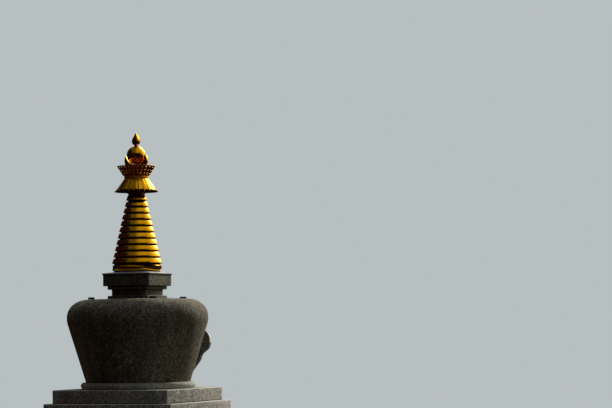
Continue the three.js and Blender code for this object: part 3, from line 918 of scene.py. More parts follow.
def plate_form():
    """The carved plate of the niche's frame, lying in its own plane."""
    form = bmesh.new()
    arris, _, grime = wear_layers(form)
    stretch = 1 / math.cos(VASE_LEAN)
    outline = plate_outline()

    def loop(points, out):
        return [form.verts.new((x, u, out)) for x, u in points]

    def arch(grow, out):
        # The opening is level, so further in it lies lower along the slope.
        drop = out * math.tan(VASE_LEAN)
        return loop([(x, (z - PLATE_BOTTOM) * stretch + drop) for x, z in arch_points(grow)], out)

    def band(first, second, rubbed_and_lit=0.0):
        faces = faces_between(form, first, second)
        for face in faces:
            face[arris] = rubbed_and_lit
        return faces

    back_edge = loop(outline, -PLATE_THICKNESS)
    border = [loop(inset_outline(outline, inset), out) for inset, out in BORDER_PROFILE]
    # The frame's side: a painted highlight on the band along the slope that faces the light, painted shade on the
    # rest
    for face in band(back_edge, border[0]):
        worn = PAINTED_LIGHT_RIM[0] < face.calc_center_median().y < PAINTED_LIGHT_RIM[1]
        face[arris if worn else grime] = PLATE_PALE_AND_DARK["painted_lit_side" if worn else "painted_shaded_side"]
    for level, (first, second) in enumerate(zip(border, border[1:])):
        band(first, second, RUBBED[level])
    architrave = [arch(inset, out) for inset, out in BORDER_PROFILE[::-1]]
    for level, (first, second) in enumerate(zip(architrave, architrave[1:])):
        band(first, second, RUBBED[::-1][level])
    back_arch = arch(0, -PLATE_THICKNESS)
    band(architrave[-1], back_arch)
    for outer, inner in ((border[-1], architrave[0]), (back_edge, back_arch)):
        edges = []
        for ring in (outer, inner):
            for i in range(len(ring)):
                pair = (ring[i], ring[(i + 1) % len(ring)])
                edges.append(form.edges.get(pair) or form.edges.new(pair))
        filled = bmesh.ops.triangle_fill(form, edges=edges, use_beauty=True)
        for face in filled["geom"]:
            if isinstance(face, bmesh.types.BMFace):
                # The back is darkened as painted shade, the field a little
                face[grime] = PLATE_PALE_AND_DARK["back" if outer is back_edge else "field"]
    bmesh.ops.recalc_face_normals(form, faces=form.faces[:])
    return form


def carved_rib_tree():
    """A raised rib with a round section along a line."""
    tree, given = new_tree("carved_rib", radius=0.006, finish=STEP_GRANITE)
    line = add(tree, "GeometryNodeMeshToCurve", {"Mesh": given["Geometry"]})
    section = add(tree, "GeometryNodeCurvePrimitiveCircle", {"Resolution": 10, "Radius": given["radius"]})
    rib = add(tree, "GeometryNodeCurveToMesh", {"Curve": line, "Profile Curve": section, "Fill Caps": True})
    close_tree(tree, rib, given["finish"])
    return tree


def beaded_line_tree():
    """Round beads set at equal distances along a line."""
    tree, given = new_tree("beaded_line", radius=0.007, spacing=0.02, finish=STEP_GRANITE)
    line = add(tree, "GeometryNodeMeshToCurve", {"Mesh": given["Geometry"]})
    stations = add(tree, "GeometryNodeResampleCurve", {"Curve": line, "Length": given["spacing"]}, mode="LENGTH")
    bead_form = add(tree, "GeometryNodeMeshUVSphere", {"Segments": 14, "Rings": 8, "Radius": given["radius"]})
    beads = add(tree, "GeometryNodeInstanceOnPoints", {"Points": stations, "Instance": bead_form.outputs["Mesh"]})
    close_tree(tree, beads, given["finish"])
    return tree


def scroll_line(scroll, side):
    """A stem that rises into a curl, as points in the frame's plane; side is 1 or -1."""
    steps = 22
    curl = []
    for i in range(steps + 1):
        share = i / steps
        reach = scroll["radius"] * (1 - SCROLL_TIGHTENING * share)
        turn = SCROLL_START - 2 * math.pi * SCROLL_TURNS * share
        curl.append((scroll["centre"][0] + reach * math.cos(turn), scroll["centre"][1] + reach * math.sin(turn)))
    return [(side * x, u, RELIEF_LEVEL) for x, u in through(scroll["stem"] + curl, 3)]


def frame_carving():
    """Scrolls in the wings, a string of beads round the arch and a bud over it, in the frame's plane."""
    rib, beaded = carved_rib_tree(), beaded_line_tree()
    parts = []
    for scroll in SCROLLS:
        for side in (1, -1):
            parts.append(grown(outline_mesh(scroll_line(scroll, side), closed=False), rib, 60, radius=RIB_RADIUS))
    stretch = 1 / math.cos(VASE_LEAN)
    arch = [(x, (z - PLATE_BOTTOM) * stretch, RELIEF_LEVEL) for x, z in arch_points(BEADS["distance"])]
    string = outline_mesh(arch[1:] + arch[:1], closed=False)
    parts.append(grown(string, beaded, 60, radius=BEADS["radius"], spacing=BEADS["spacing"]))
    bud = ellipsoid(*BUD["size"])
    bud_level = (PLATE_TIP - BUD["below_tip"] - PLATE_BOTTOM) * stretch
    bud.transform(Matrix.Translation((0, bud_level, RELIEF_LEVEL)))
    carving = joined(parts + [bud], "carving")
    worn = carving.attributes.new("arris", "FLOAT", "FACE")
    for value in worn.data:
        value.value = CARVING_WEAR
    return carving


def make_niche_frame():
    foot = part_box("vase")[0].z
    to_front = plate_matrix(foot)
    plate = plate_form()
    plate.transform(to_front)
    length = (BED["top"] - BED["bottom"]) / math.cos(VASE_LEAN)
    bed = bmesh.new()
    bmesh.ops.create_cube(bed, size=1)
    centre = ((BED["bottom"] - PLATE_BOTTOM) / math.cos(VASE_LEAN)) + length / 2
    size = Matrix.Diagonal((2 * BED["half_width"], length, BED["depth"], 1))
    behind = BED["lap"] - PLATE_THICKNESS - BED["depth"] / 2
    bed.transform(to_front @ Matrix.Translation((0, centre, behind)) @ size)
    round_vase = mesh_of(turned(vase_profile(VASE_CLEARANCE), base=foot), "vase")
    block = combined(mesh_of(bed, "bed"), round_vase, "DIFFERENCE")
    block = combined(block, prism(arch_points(), 1.0, NICHE_BACK, foot), "DIFFERENCE")
    carving = frame_carving()
    carving.transform(to_front)
    stone = joined([mesh_of(plate, "plate", 35), carving, block], "niche_surround")
    place_piece("niche_frame", stone, "granite_steps", [STEP_GRANITE], "niche_surround")


def make_lugs():
    for i in range(1, 5):
        name = f"shoulder_lug_{i}"
        low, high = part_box(name)
        middle = (low + high) / 2
        form = bmesh.new()
        form.faces.layers.float.new("arris")
        bmesh.ops.create_cube(form, size=1)
        size = Matrix.Diagonal((LUG["side"], LUG["side"], high.z - low.z, 1))
        angle = math.atan2(middle.y, middle.x)
        form.transform(Matrix.Translation(middle) @ Matrix.Rotation(angle, 4, "Z") @ size)
        ease_arrises(form, LUG["arris"])
        place_piece(f"lug_{i}", mesh_of(form, name), "dark_metal", [BRONZE], name)


def new_tree(name, **sizes):
    """A Geometry Nodes tree with a named input for each size: whole numbers, lengths or a material."""
    tree = bpy.data.node_groups.new(name, "GeometryNodeTree")
    tree.interface.new_socket("Geometry", in_out="INPUT", socket_type="NodeSocketGeometry")
    tree.interface.new_socket("Geometry", in_out="OUTPUT", socket_type="NodeSocketGeometry")
    kinds = {int: "NodeSocketInt", float: "NodeSocketFloat", bpy.types.Material: "NodeSocketMaterial"}
    for size, value in sizes.items():
        socket = tree.interface.new_socket(size, in_out="INPUT", socket_type=kinds[type(value)])
        socket.default_value = value
    return tree, add(tree, "NodeGroupInput").outputs


def close_tree(tree, geometry, material):
    """Ends a tree: instances made real, then the finish."""
    real = add(tree, "GeometryNodeRealizeInstances", {"Geometry": geometry})
    finished = add(tree, "GeometryNodeSetMaterial", {"Geometry": real, "Material": material})
    add(tree, "NodeGroupOutput", {"Geometry": finished})


def grown(mesh, tree, smooth_angle=30, **values):
    """Runs a tree on a mesh with the given inputs, and gives the result as a plain mesh."""
    made = put("work", mesh)
    modifier = made.modifiers.new("nodes", "NODES")
    modifier.node_group = tree
    for item in tree.interface.items_tree:
        if item.in_out == "INPUT" and item.name in values:
            modifier[item.identifier] = values[item.name]
    return all_in(settled(made, smooth_angle), 0)


def outline_mesh(points, closed=True):
    """Points joined by edges, for a tree that sweeps them."""
    mesh = bpy.data.meshes.new("outline")
    count = len(points)
    edges = [(i, (i + 1) % count) for i in range(count if closed else count - 1)]
    mesh.from_pydata(points, edges, [])
    return mesh


def swept_ring_tree():
    """Sweeps a profile round a circle; its surface strays a little from true, as beaten metal does."""
    tree, given = new_tree("swept_ring", radius=0.2, foot=0.0, segments=192, unevenness=0.0005, seed=1.0, finish=GOLD)
    profile = add(tree, "GeometryNodeMeshToCurve", {"Mesh": given["Geometry"]})
    size = {"Resolution": given["segments"], "Radius": given["radius"]}
    circle = add(tree, "GeometryNodeCurvePrimitiveCircle", size)
    swept = add(tree, "GeometryNodeCurveToMesh", {"Curve": circle, "Profile Curve": profile})
    lift = add(tree, "ShaderNodeCombineXYZ", {"Z": given["foot"]})
    lifted = add(tree, "GeometryNodeSetPosition", {"Geometry": swept, "Offset": lift})
    stray = add(tree, "ShaderNodeTexNoise", {"W": given["seed"], "Scale": 9.0, "Detail": 1.0}, noise_dimensions="4D")
    centred = add(tree, "ShaderNodeMath", [stray, 0.5], operation="SUBTRACT")
    amount = add(tree, "ShaderNodeMath", [centred, given["unevenness"]], operation="MULTIPLY")
    normal = add(tree, "GeometryNodeInputNormal")
    push = add(tree, "ShaderNodeVectorMath", {"Vector": normal, "Scale": amount}, operation="SCALE")
    beaten = add(tree, "GeometryNodeSetPosition", {"Geometry": lifted, "Offset": push.outputs["Vector"]})
    close_tree(tree, beaten, given["finish"])
    return tree


def ring_profile(depth):
    """Groove of that depth, lip and sloping band, as (out from the lip, up from the foot) points."""
    lip, top = RING_GROOVE + RING_LIP, RING_PITCH - RING_GAP
    points = [(-RING_WALL, 0.0), (-depth, 0.0)]
    points += [(out - depth, RING_GROOVE + up) for out, up in GROOVE_CORNER]
    points += [(out, RING_GROOVE + up) for out, up in LIP_EDGE]
    points += [(0.0, lip), (-RING_TAPER * 0.5 + RING_CROWNING, (lip + RING_PITCH) / 2)]
    points += [(-RING_TAPER + RING_TOP_EDGE[0], RING_PITCH - RING_TOP_EDGE[1]), (-RING_TAPER, top)]
    return points + [(-RING_WALL, top)]


def make_spire_rings():
    tree = swept_ring_tree()
    for i in range(RING_COUNT):
        name = f"spire_ring_{i + 1:02d}"
        sheltered = i + 1 == SHELTERED["ring"]
        depth = SHELTERED["groove_depth"] if sheltered else RING_GROOVE_DEPTH
        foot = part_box(name)[0].z
        lip = FIRST_LIP_RADIUS - LIP_STEP * i
        profile = outline_mesh([(out, -height, 0) for out, height in ring_profile(depth)[::-1]])
        mesh = grown(profile, tree, radius=lip, foot=foot, seed=float(i), unevenness=RING_UNEVENNESS)
        # Each groove is dark oxidised copper: patina, and painted shade under the lip
        dark_top = foot + RING_GROOVE + GROOVE_FINISH["above"]
        dark_edge = lip - depth * GROOVE_FINISH["bright"]
        for face in mesh.polygons:
            face.material_index = int(face.center.z < dark_top and face.center.xy.length < dark_edge)
        finishes = [GOLD, TARNISHED if sheltered else OXIDISED]
        place_piece(f"ring_{i + 1:02d}_sheet", mesh, "gilded_copper", finishes, name)


def make_cushion():
    """The cushion under the rings: widest above its middle, and beaten so unevenly that it shows."""
    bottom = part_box("spire_cushion")[0].z
    foot, radius, top, widest = CUSHION["foot"], CUSHION["radius"], CUSHION["top"], CUSHION["widest"]
    height = CUSHION["height"] - CUSHION["gap"]
    below = arc((foot, widest), radius - foot, widest, -math.pi / 2, 0, 20)
    above = arc((top, widest), radius - top, height - widest, 0, math.pi / 2, 16)
    inner = foot - CUSHION["wall"]
    points = below + above[1:] + [(inner, height), (inner, 0.0)]
    profile = outline_mesh([(r, -h, 0) for r, h in points[::-1]])
    mesh = grown(profile, swept_ring_tree(), radius=0.0001, foot=bottom, seed=31.0, unevenness=CUSHION["unevenness"])

    def sinking(place):
        """How far the open fold goes in at a place, from 0 to 1."""
        share = ((math.atan2(place.y, place.x) - FOLD["start"]) % math.pi) / FOLD["length"]
        if share > 1 or place.xy.length < foot:
            return 0.0
        above = FOLD["top"] + FOLD["slope"] * max(0.0, 1 - share / FOLD["slope_ends"])
        below = above - FOLD["height"] * min(1.0, FOLD["opening"] + FOLD["widening"] * share)
        level = place.z - bottom
        lips = (above - level) / FOLD["upper_lip"], (level - below) / FOLD["lower_lip"]
        return max(0.0, min(1.0, *lips, (1 - share) / FOLD["run_out"]))

    depths = [sinking(vertex.co) for vertex in mesh.vertices]
    # Dark oxidised copper in the fold and at the foot: painted shade in the fold, painted shadow where the cushion
    # sits on the slab
    for face in mesh.polygons:
        shaded = face.center.z - bottom < CUSHION["dark_foot"]
        face.material_index = int(shaded or any(depths[i] > 0 for i in face.vertices))
    for vertex, depth in zip(mesh.vertices, depths):
        vertex.co.xy *= 1 - FOLD["depth"] * depth / vertex.co.xy.length
    mesh.set_sharp_from_angle(angle=math.radians(35))
    place_piece("cushion_sheet", mesh, "gilded_copper", [GOLD, OXIDISED], "spire_cushion")


def folded_skirt_tree():
    """A flared skirt of panels that bulge a little and meet in narrow valleys."""
    tree, given = new_tree(
        "folded_skirt", panels=24, neck=0.13, hem=0.22, top=1.0, drop=0.1, flare=0.15, bulge=0.003, valley=0.004,
        start=0.0, finish=GOLD,
    )
    across = add(tree, "ShaderNodeMath", [given["panels"], 12.0], operation="MULTIPLY")
    columns = add(tree, "ShaderNodeMath", [across, 1.0], operation="ADD")
    size = {"Size X": 1.0, "Size Y": 1.0, "Vertices X": columns, "Vertices Y": 14}
    sheet = add(tree, "GeometryNodeMeshGrid", size).outputs["Mesh"]
    place = add(tree, "ShaderNodeSeparateXYZ", {"Vector": add(tree, "GeometryNodeInputPosition")})
    share = add(tree, "ShaderNodeMath", [0.5, place.outputs["Y"]], operation="SUBTRACT")
    turn = add(tree, "ShaderNodeMath", [place.outputs["X"], 2 * math.pi, given["start"]], operation="MULTIPLY_ADD")
    counted = add(tree, "ShaderNodeMath", [place.outputs["X"], given["panels"]], operation="MULTIPLY")
    within = add(tree, "ShaderNodeMath", [counted], operation="FRACT")
    centred = add(tree, "ShaderNodeMath", [within, 0.5], operation="SUBTRACT")
    doubled = add(tree, "ShaderNodeMath", [centred, 2.0], operation="MULTIPLY")
    off = add(tree, "ShaderNodeMath", [doubled], operation="ABSOLUTE")
    square = add(tree, "ShaderNodeMath", [off, 2.0], operation="POWER")
    steep = add(tree, "ShaderNodeMath", [off, 9.0], operation="POWER")
    bulged = add(tree, "ShaderNodeMath", [square, given["bulge"]], operation="MULTIPLY")
    creased = add(tree, "ShaderNodeMath", [steep, given["valley"]], operation="MULTIPLY")
    inwards = add(tree, "ShaderNodeMath", [bulged, creased], operation="ADD")
    squared_share = add(tree, "ShaderNodeMath", [share, 2.0], operation="POWER")
    mix = {"Factor_Float": given["flare"], "A_Float": share, "B_Float": squared_share}
    spread_share = add(tree, "ShaderNodeMix", mix)
    widening = add(tree, "ShaderNodeMath", [given["hem"], given["neck"]], operation="SUBTRACT")
    spread = add(tree, "ShaderNodeMath", [spread_share, widening, given["neck"]], operation="MULTIPLY_ADD")
    radius = add(tree, "ShaderNodeMath", [spread, inwards], operation="SUBTRACT")
    fallen = add(tree, "ShaderNodeMath", [share, given["drop"]], operation="MULTIPLY")
    height = add(tree, "ShaderNodeMath", [given["top"], fallen], operation="SUBTRACT")
    wrapped = wrap(tree, sheet, turn, radius, height)
    close_tree(tree, wrapped, given["finish"])
    return tree


def wrap(tree, sheet, turn, radius, height):
    """Moves a flat sheet on to a surface round the axis, and joins its two ends."""
    x = add(tree, "ShaderNodeMath", [turn], operation="COSINE")
    y = add(tree, "ShaderNodeMath", [turn], operation="SINE")
    direction = add(tree, "ShaderNodeCombineXYZ", {"X": x, "Y": y})
    outwards = add(tree, "ShaderNodeVectorMath", {"Vector": direction, "Scale": radius}, operation="SCALE")
    up = add(tree, "ShaderNodeCombineXYZ", {"Z": height})
    position = add(tree, "ShaderNodeVectorMath", [outwards.outputs["Vector"], up], operation="ADD")
    moved = add(tree, "GeometryNodeSetPosition", {"Geometry": sheet, "Position": position.outputs["Vector"]})
    return add(tree, "GeometryNodeMergeByDistance", {"Geometry": moved, "Distance": 0.00002})


def pierced_shell_tree():
    """Lays copies of one pierced tile edge to edge, and wraps them round the axis as a flared, ribbed shell."""
    tree, given = new_tree(
        "pierced_shell", columns=24, rows=4, foot=0.13, rim=0.19, bottom=0.0, height=0.1, flare=1.0, rib=0.0,
        start=0.0, finish=GOLD,
    )
    last_column = add(tree, "ShaderNodeMath", [given["columns"], 1.0], operation="SUBTRACT")
    last_row = add(tree, "ShaderNodeMath", [given["rows"], 1.0], operation="SUBTRACT")
    size = {"Size X": last_column, "Size Y": last_row, "Vertices X": given["columns"], "Vertices Y": given["rows"]}
    points = add(tree, "GeometryNodeMeshGrid", size).outputs["Mesh"]
    laid = add(tree, "GeometryNodeInstanceOnPoints", {"Points": points, "Instance": given["Geometry"]})
    real = add(tree, "GeometryNodeRealizeInstances", {"Geometry": laid})
    sheet = add(tree, "GeometryNodeMergeByDistance", {"Geometry": real, "Distance": 0.001})
    place = add(tree, "ShaderNodeSeparateXYZ", {"Vector": add(tree, "GeometryNodeInputPosition")})
    column_turn = add(tree, "ShaderNodeMath", [2 * math.pi, given["columns"]], operation="DIVIDE")
    turn = add(tree, "ShaderNodeMath", [place.outputs["X"], column_turn, given["start"]], operation="MULTIPLY_ADD")
    share_off = add(tree, "ShaderNodeMath", [place.outputs["Y"], given["rows"]], operation="DIVIDE")
    share = add(tree, "ShaderNodeMath", [share_off, 0.5], operation="ADD")
    bent = add(tree, "ShaderNodeMath", [share, given["flare"]], operation="POWER")
    widening = add(tree, "ShaderNodeMath", [given["rim"], given["foot"]], operation="SUBTRACT")
    spread = add(tree, "ShaderNodeMath", [bent, widening, given["foot"]], operation="MULTIPLY_ADD")
    rib_turn = add(tree, "ShaderNodeMath", [place.outputs["X"], 2 * math.pi], operation="MULTIPLY")
    wave = add(tree, "ShaderNodeMath", [rib_turn], operation="COSINE")
    radius = add(tree, "ShaderNodeMath", [wave, given["rib"], spread], operation="MULTIPLY_ADD")
    height = add(tree, "ShaderNodeMath", [share, given["height"], given["bottom"]], operation="MULTIPLY_ADD")
    close_tree(tree, wrap(tree, sheet, turn, radius, height), given["finish"])
    return tree


def pierced_tile(width, height, hole_width, hole_height, steps=4):
    """One tile of a pierced sheet, one unit wide and high, with a hole of the real size given."""
    form = bmesh.new()
    count = 4 * steps
    share = [i / steps - 0.5 for i in range(steps)]
    edge = [(s, -0.5) for s in share] + [(0.5, s) for s in share]
    edge += [(-s, 0.5) for s in share] + [(-0.5, -s) for s in share]
    hole = []
    for i in range(count):
        angle = 2 * math.pi * i / count - 0.75 * math.pi
        hole.append((hole_width / width / 2 * math.cos(angle), hole_height / height / 2 * math.sin(angle)))
    loops = []
    for weight in (0.0, 0.5, 1.0):
        loop = []
        for (ex, ey), (hx, hy) in zip(edge, hole):
            loop.append(form.verts.new((ex + (hx - ex) * weight, ey + (hy - ey) * weight, 0)))
        loops.append(loop)
    for outer, inner in zip(loops, loops[1:]):
        faces_between(form, outer, inner)
    return mesh_of(form, "tile")


def round_axis_tree():
    """Sets copies of one small form evenly on a circle, each turned to face outwards."""
    tree, given = new_tree("round_axis", count=24, radius=0.1, level=0.0, finish=GOLD)
    points = add(tree, "GeometryNodeMeshCircle", {"Vertices": given["count"], "Radius": given["radius"]})
    step = add(tree, "ShaderNodeMath", [2 * math.pi, given["count"]], operation="DIVIDE")
    turn = add(tree, "ShaderNodeMath", [add(tree, "GeometryNodeInputIndex"), step], operation="MULTIPLY")
    facing = add(tree, "ShaderNodeCombineXYZ", {"Z": turn})
    instances = {"Points": points, "Instance": given["Geometry"], "Rotation": facing}
    copies = add(tree, "GeometryNodeInstanceOnPoints", instances)
    lift = add(tree, "ShaderNodeCombineXYZ", {"Z": given["level"]})
    lifted = add(tree, "GeometryNodeTranslateInstances", {"Instances": copies, "Translation": lift})
    close_tree(tree, lifted, given["finish"])
    return tree


def ellipsoid(x, y, z, segments=16, rings=8):
    """A rounded form with these half sizes."""
    form = bmesh.new()
    bmesh.ops.create_uvsphere(form, u_segments=segments, v_segments=rings, radius=1)
    form.transform(Matrix.Diagonal((x, y, z, 1)))
    return mesh_of(form, "ellipsoid")


def bead(radius, height, thickness):
    """A round wire bent to a ring."""
    section = arc((radius, height), thickness, thickness, 0, 2 * math.pi * 11 / 12, 11)
    return mesh_of(turned(section, closed=True), "bead")


def make_umbrella():
    bottom = SKIRT["top"] - SKIRT["drop"]
    slope = (SKIRT["hem"] - SKIRT["neck"]) / SKIRT["drop"]
    line = outline_mesh([(0, 0, 0), (1, 0, 0)], closed=False)
    shape = {size: SKIRT[size] for size in ("neck", "hem", "top", "drop", "flare")}
    folds = {"bulge": SEAM["bulge"], "valley": SEAM["valley"], "start": SEAM["turn"]}
    skirt = grown(line, folded_skirt_tree(), panels=PANELS, **shape, **folds)
    for face in skirt.polygons:
        place = (math.atan2(face.center.y, face.center.x) - SEAM["turn"]) / (2 * math.pi) * PANELS
        seam = abs(place - round(place)) < SEAM["half_width"]
        face.material_index = 2 if face.center.z < bottom + HEM["strip"] else int(seam)

    def on_skirt(rivet, count, rise):
        """Copies of a rivet round the skirt, so high above its hem."""
        radius = SKIRT["hem"] - TRIM_SINK - rise * slope
        return grown(rivet, round_axis_tree(), count=count, radius=radius, level=bottom + rise)

    boss = ellipsoid(HEM["boss"], HEM["boss"], HEM["boss"], 14, 10)
    boss.transform(Matrix.Rotation(-math.atan(slope), 4, "Y"))
    bosses = on_skirt(boss, PANELS, HEM["strip"] * HEM["boss_level"])
    bosses.transform(Matrix.Rotation(SEAM["turn"] + HEM["boss_turn"], 4, "Z"))
    studs = on_skirt(ellipsoid(STUD["reach"], STUD["radius"], STUD["radius"], 10, 6), 2 * PANELS, STUD["rise"])
    hub_top = SKIRT["top"] - HUB["thickness"]
    hub_outline = [
        (MAST_BORE, HUB["bottom"]),
        (HUB["radius"] - HUB["edge"], HUB["bottom"]),
        (HUB["radius"], HUB["bottom"] + HUB["edge"]),
        (HUB["radius"], hub_top),
        (SKIRT["neck"] - HUB["inside_neck"][0], hub_top),
        (SKIRT["neck"] - HUB["inside_neck"][1], SKIRT["top"]),
        (MAST_BORE, SKIRT["top"]),
    ]
    hub = mesh_of(turned(hub_outline, 96, closed=True), "hub")
    wire = all_in(bead(SKIRT["hem"] - HEM["wire"], bottom + HEM["wire"] * HEM["wire_level"], HEM["wire"]), 2)
    mesh = joined([thickened(skirt, SKIRT["shell"], 1), bosses, studs, hub, wire], "umbrella")
    place_piece("umbrella_sheet", mesh, "gilded_copper", [GOLD, TARNISHED, OXIDISED], "umbrella_skirt")


def make_collar():
    """The band between umbrella and cup: a fillet at either edge and a row of round lobes between them."""
    low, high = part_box("umbrella_collar")
    radius, bore = COLLAR["radius"], COLLAR["bore"]
    top = high.z - COLLAR["gap"]
    lower = [(radius + out, low.z + up) for out, up in COLLAR_FILLET]
    upper = [(radius + out, min(top, high.z - down)) for out, down in COLLAR_FILLET[::-1]]
    band = mesh_of(turned([(bore, low.z)] + lower + upper + [(bore, top)], closed=True), "band")
    ring = {"count": COLLAR["lobes"], "radius": radius - COLLAR["lobe_sink"], "level": (low.z + high.z) / 2}
    lobes = grown(ellipsoid(*COLLAR["lobe"]), round_axis_tree(), **ring)
    place_piece("collar_sheet", joined([band, lobes], "collar"), "gilded_copper", [GOLD], "umbrella_collar")


def make_crown():
    """The cup: a pierced and ribbed sheet, with a small leaning scale in each hole, between two round beads."""
    low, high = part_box("lotus_crown")
    foot, rim, rows, edge = CROWN["foot"], CROWN["rim"], CROWN["rows"], CROWN["sheet"]
    height = high.z - low.z
    tile = pierced_tile(math.pi * (foot + rim) / PANELS, height / rows, *CROWN["hole"])
    shape = {"foot": foot, "rim": rim, "flare": CROWN["flare"], "rib": CROWN["rib"], "start": CROWN["turn"]}
    place = {"bottom": low.z + edge, "height": height - 2 * edge}
    wall = grown(tile, pierced_shell_tree(), columns=PANELS, rows=rows, **shape, **place)
    edge_points = [(foot + out, low.z + up) for out, up in CUP_FLOOR_EDGE]
    floor = [(MAST_BORE, edge_points[0][1])] + edge_points + [(MAST_BORE, edge_points[-1][1])]
    scale = ellipsoid(*CROWN["scale"], 12, 8)
    scale.transform(Matrix.Rotation(-CROWN["scale_lean"], 4, "Y"))
    parts = []
    for row in range(rows):
        share = (row + 0.5) / rows
        spread = foot + (rim - foot) * share ** CROWN["flare"]
        level = low.z + edge + share * (height - 2 * edge)
        string = grown(scale, round_axis_tree(), count=PANELS, radius=spread - TRIM_SINK, level=level)
        string.transform(Matrix.Rotation(CROWN["turn"] + math.pi / PANELS, 4, "Z"))
        parts.append(all_in(string, 1))
    parts += [thickened(wall, edge, 1), mesh_of(turned(floor, closed=True), "floor")]
    for radius, level in ((foot, low.z + CROWN["bead"]), (rim, high.z - CROWN["bead"])):
        parts.append(bead(radius - TRIM_SINK, level, CROWN["bead"]))
    place_piece("crown_sheet", joined(parts, "crown"), "gilded_copper", [DULL, AGED], "lotus_crown")


def make_moon():
    """A crescent that tapers to its horns, with a rounded section."""
    centre = Vector((0, 0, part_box("moon_crescent")[0].z + MOON["radius"]))
    gap, outer, inner = MOON["rise"], MOON["radius"], MOON["hollow"]
    horn = (gap * gap + outer * outer - inner * inner) / (2 * gap)
    horn_x = math.sqrt(outer * outer - horn * horn)
    start_outer = math.atan2(horn, horn_x)
    start_inner = math.atan2(horn - gap, horn_x)
    form = bmesh.new()
    loops = []
    for i in range(1, MOON["stations"]):
        share = i / MOON["stations"]
        outside = start_outer - (math.pi + 2 * start_outer) * share
        inside = start_inner - (math.pi + 2 * start_inner) * share
        far = Vector((outer * math.cos(outside), 0, outer * math.sin(outside)))
        near = Vector((inner * math.cos(inside), 0, gap + inner * math.sin(inside)))
        middle, half = (far + near) / 2, (far - near) / 2
        depth = MOON["thickness"] / 2 * min(1.0, (math.sin(math.pi * share) * MOON_FULLNESS) ** 0.5)
        loop = []
        for turn in turns_of(MOON["sides"]):
            flat = [math.copysign(abs(v) ** MOON_SQUARENESS, v) for v in (math.cos(turn), math.sin(turn))]
            loop.append(form.verts.new(centre + middle + half * flat[0] + Vector((0, depth * flat[1], 0))))
        loops.append(loop)
    for first, second in zip(loops, loops[1:]):
        faces_between(form, first, second)
    for loop, side in ((loops[0], 1), (loops[-1], -1)):
        tip = form.verts.new(centre + Vector((side * horn_x, 0, horn)))
        for first, second in zip(loop, loop[1:] + loop[:1]):
            form.faces.new([first, second, tip])
    bmesh.ops.recalc_face_normals(form, faces=form.faces[:])
    place_piece("moon_sheet", mesh_of(form, "moon", 45), "gilded_copper", [GOLD], "moon_crescent")


def make_sun():
    """The ball, flat where the jewel sits on it."""
    low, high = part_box("sun_sphere")
    radius, top = SUN["radius"], high.z - SUN["gap"]
    profile = arc((0, low.z + radius), radius, radius, -math.pi / 2, math.pi / 2, 72)
    profile[0] = (0, profile[0][1])
    kept = [point for point in profile if point[1] < high.z]
    ball = turned(kept + [(SUN["seat"], top), (0, top)])
    place_piece("sun_sheet", mesh_of(ball, "sun", 40), "gilded_copper", [GOLD], "sun_sphere")


def make_jewel():
    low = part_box("finial_jewel")[0]
    form = turned(JEWEL_OUTLINE, 96, base=low.z)
    for vertex in form.verts:
        above = vertex.co.z - low.z - JEWEL["foot"]
        if above >= 0:
            angle = math.atan2(vertex.co.y, vertex.co.x)
            hollow = JEWEL["hollow"] * (1 + math.cos(4 * angle + JEWEL["turn"]))
            vertex.co.xy *= JEWEL["girth"] - hollow * min(1.0, above / JEWEL["fade"])
    petal = bmesh.new()
    bmesh.ops.create_uvsphere(petal, u_segments=16, v_segments=12, radius=1)
    for vertex in petal.verts:
        rise = (vertex.co.z + 1) / 2
        vertex.co.y *= PETALS["width"] * (1 - PETALS["taper"] * rise * rise)
        vertex.co.x = PETALS["thickness"] * vertex.co.x + PETALS["bulge"] * math.sin(rise * math.pi * PETALS["curl"])
        vertex.co.z = JEWEL["foot"] + PETALS["height"] * rise
    ring = {"count": PETALS["count"], "radius": PETALS["ring"], "level": low.z}
    petals = all_in(grown(mesh_of(petal, "petal"), round_axis_tree(), **ring), 1)
    mesh = joined([mesh_of(form, "jewel", 50), petals], "jewel")
    place_piece("jewel_sheet", mesh, "gilded_copper", [WORN, TARNISHED], "finial_jewel")


def dress_kept_nodes():
    """The two solids that keep their shape, inside the throne and the spire."""
    for name, material in (("throne_core", RUBBLE), ("spire_mast", STEEL)):
        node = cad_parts[name]
        node.data.materials.clear()
        node.data.materials.append(material)


def direction_of(azimuth, elevation=0):
    """The direction from the axis, by its angles in degrees."""
    turn, rise = math.radians(azimuth), math.radians(elevation)
    return Vector((math.sin(turn) * math.cos(rise), -math.cos(turn) * math.cos(rise), math.sin(rise)))


def make_camera():
    """The camera from which the stupa's axis, eye level and size fall where the photograph has them."""
    camera = put("camera", bpy.data.cameras.new("camera"))
    camera.data.sensor_width = SENSOR_WIDTH
    camera.data.lens = FOCAL_PIXELS / PICTURE[0] * SENSOR_WIDTH
    camera.data.clip_end = VIEW_DEPTH
    place = direction_of(CAMERA_AZIMUTH) * CAMERA_DISTANCE
    place.z = EYE_HEIGHT
    # The ray to the axis at eye level: where it points, and where it lies in the picture
    wanted = (Vector((0, 0, EYE_HEIGHT)) - place).normalized()
    local = Vector((AXIS_PIXEL[0] - PICTURE[0] / 2, PICTURE[1] / 2 - AXIS_PIXEL[1], -FOCAL_PIXELS)).normalized()
    roll = Matrix.Rotation(CAMERA_ROLL, 3, "Z")
    local = roll @ local
    rise = math.asin(wanted.z / math.hypot(local.y, local.z))
    fall = math.atan2(local.z, local.y)
    tilt = rise - fall
    if abs(math.pi / 2 - tilt) >= 1:
        tilt = math.pi - rise - fall
    tilted = Matrix.Rotation(tilt, 3, "X")
    raised = tilted @ local
    yaw = math.atan2(wanted.y, wanted.x) - math.atan2(raised.y, raised.x)
    turn = Matrix.Rotation(yaw, 3, "Z") @ tilted @ roll
    camera.matrix_world = Matrix.Translation(place) @ turn.to_4x4()
    bpy.context.scene.camera = camera


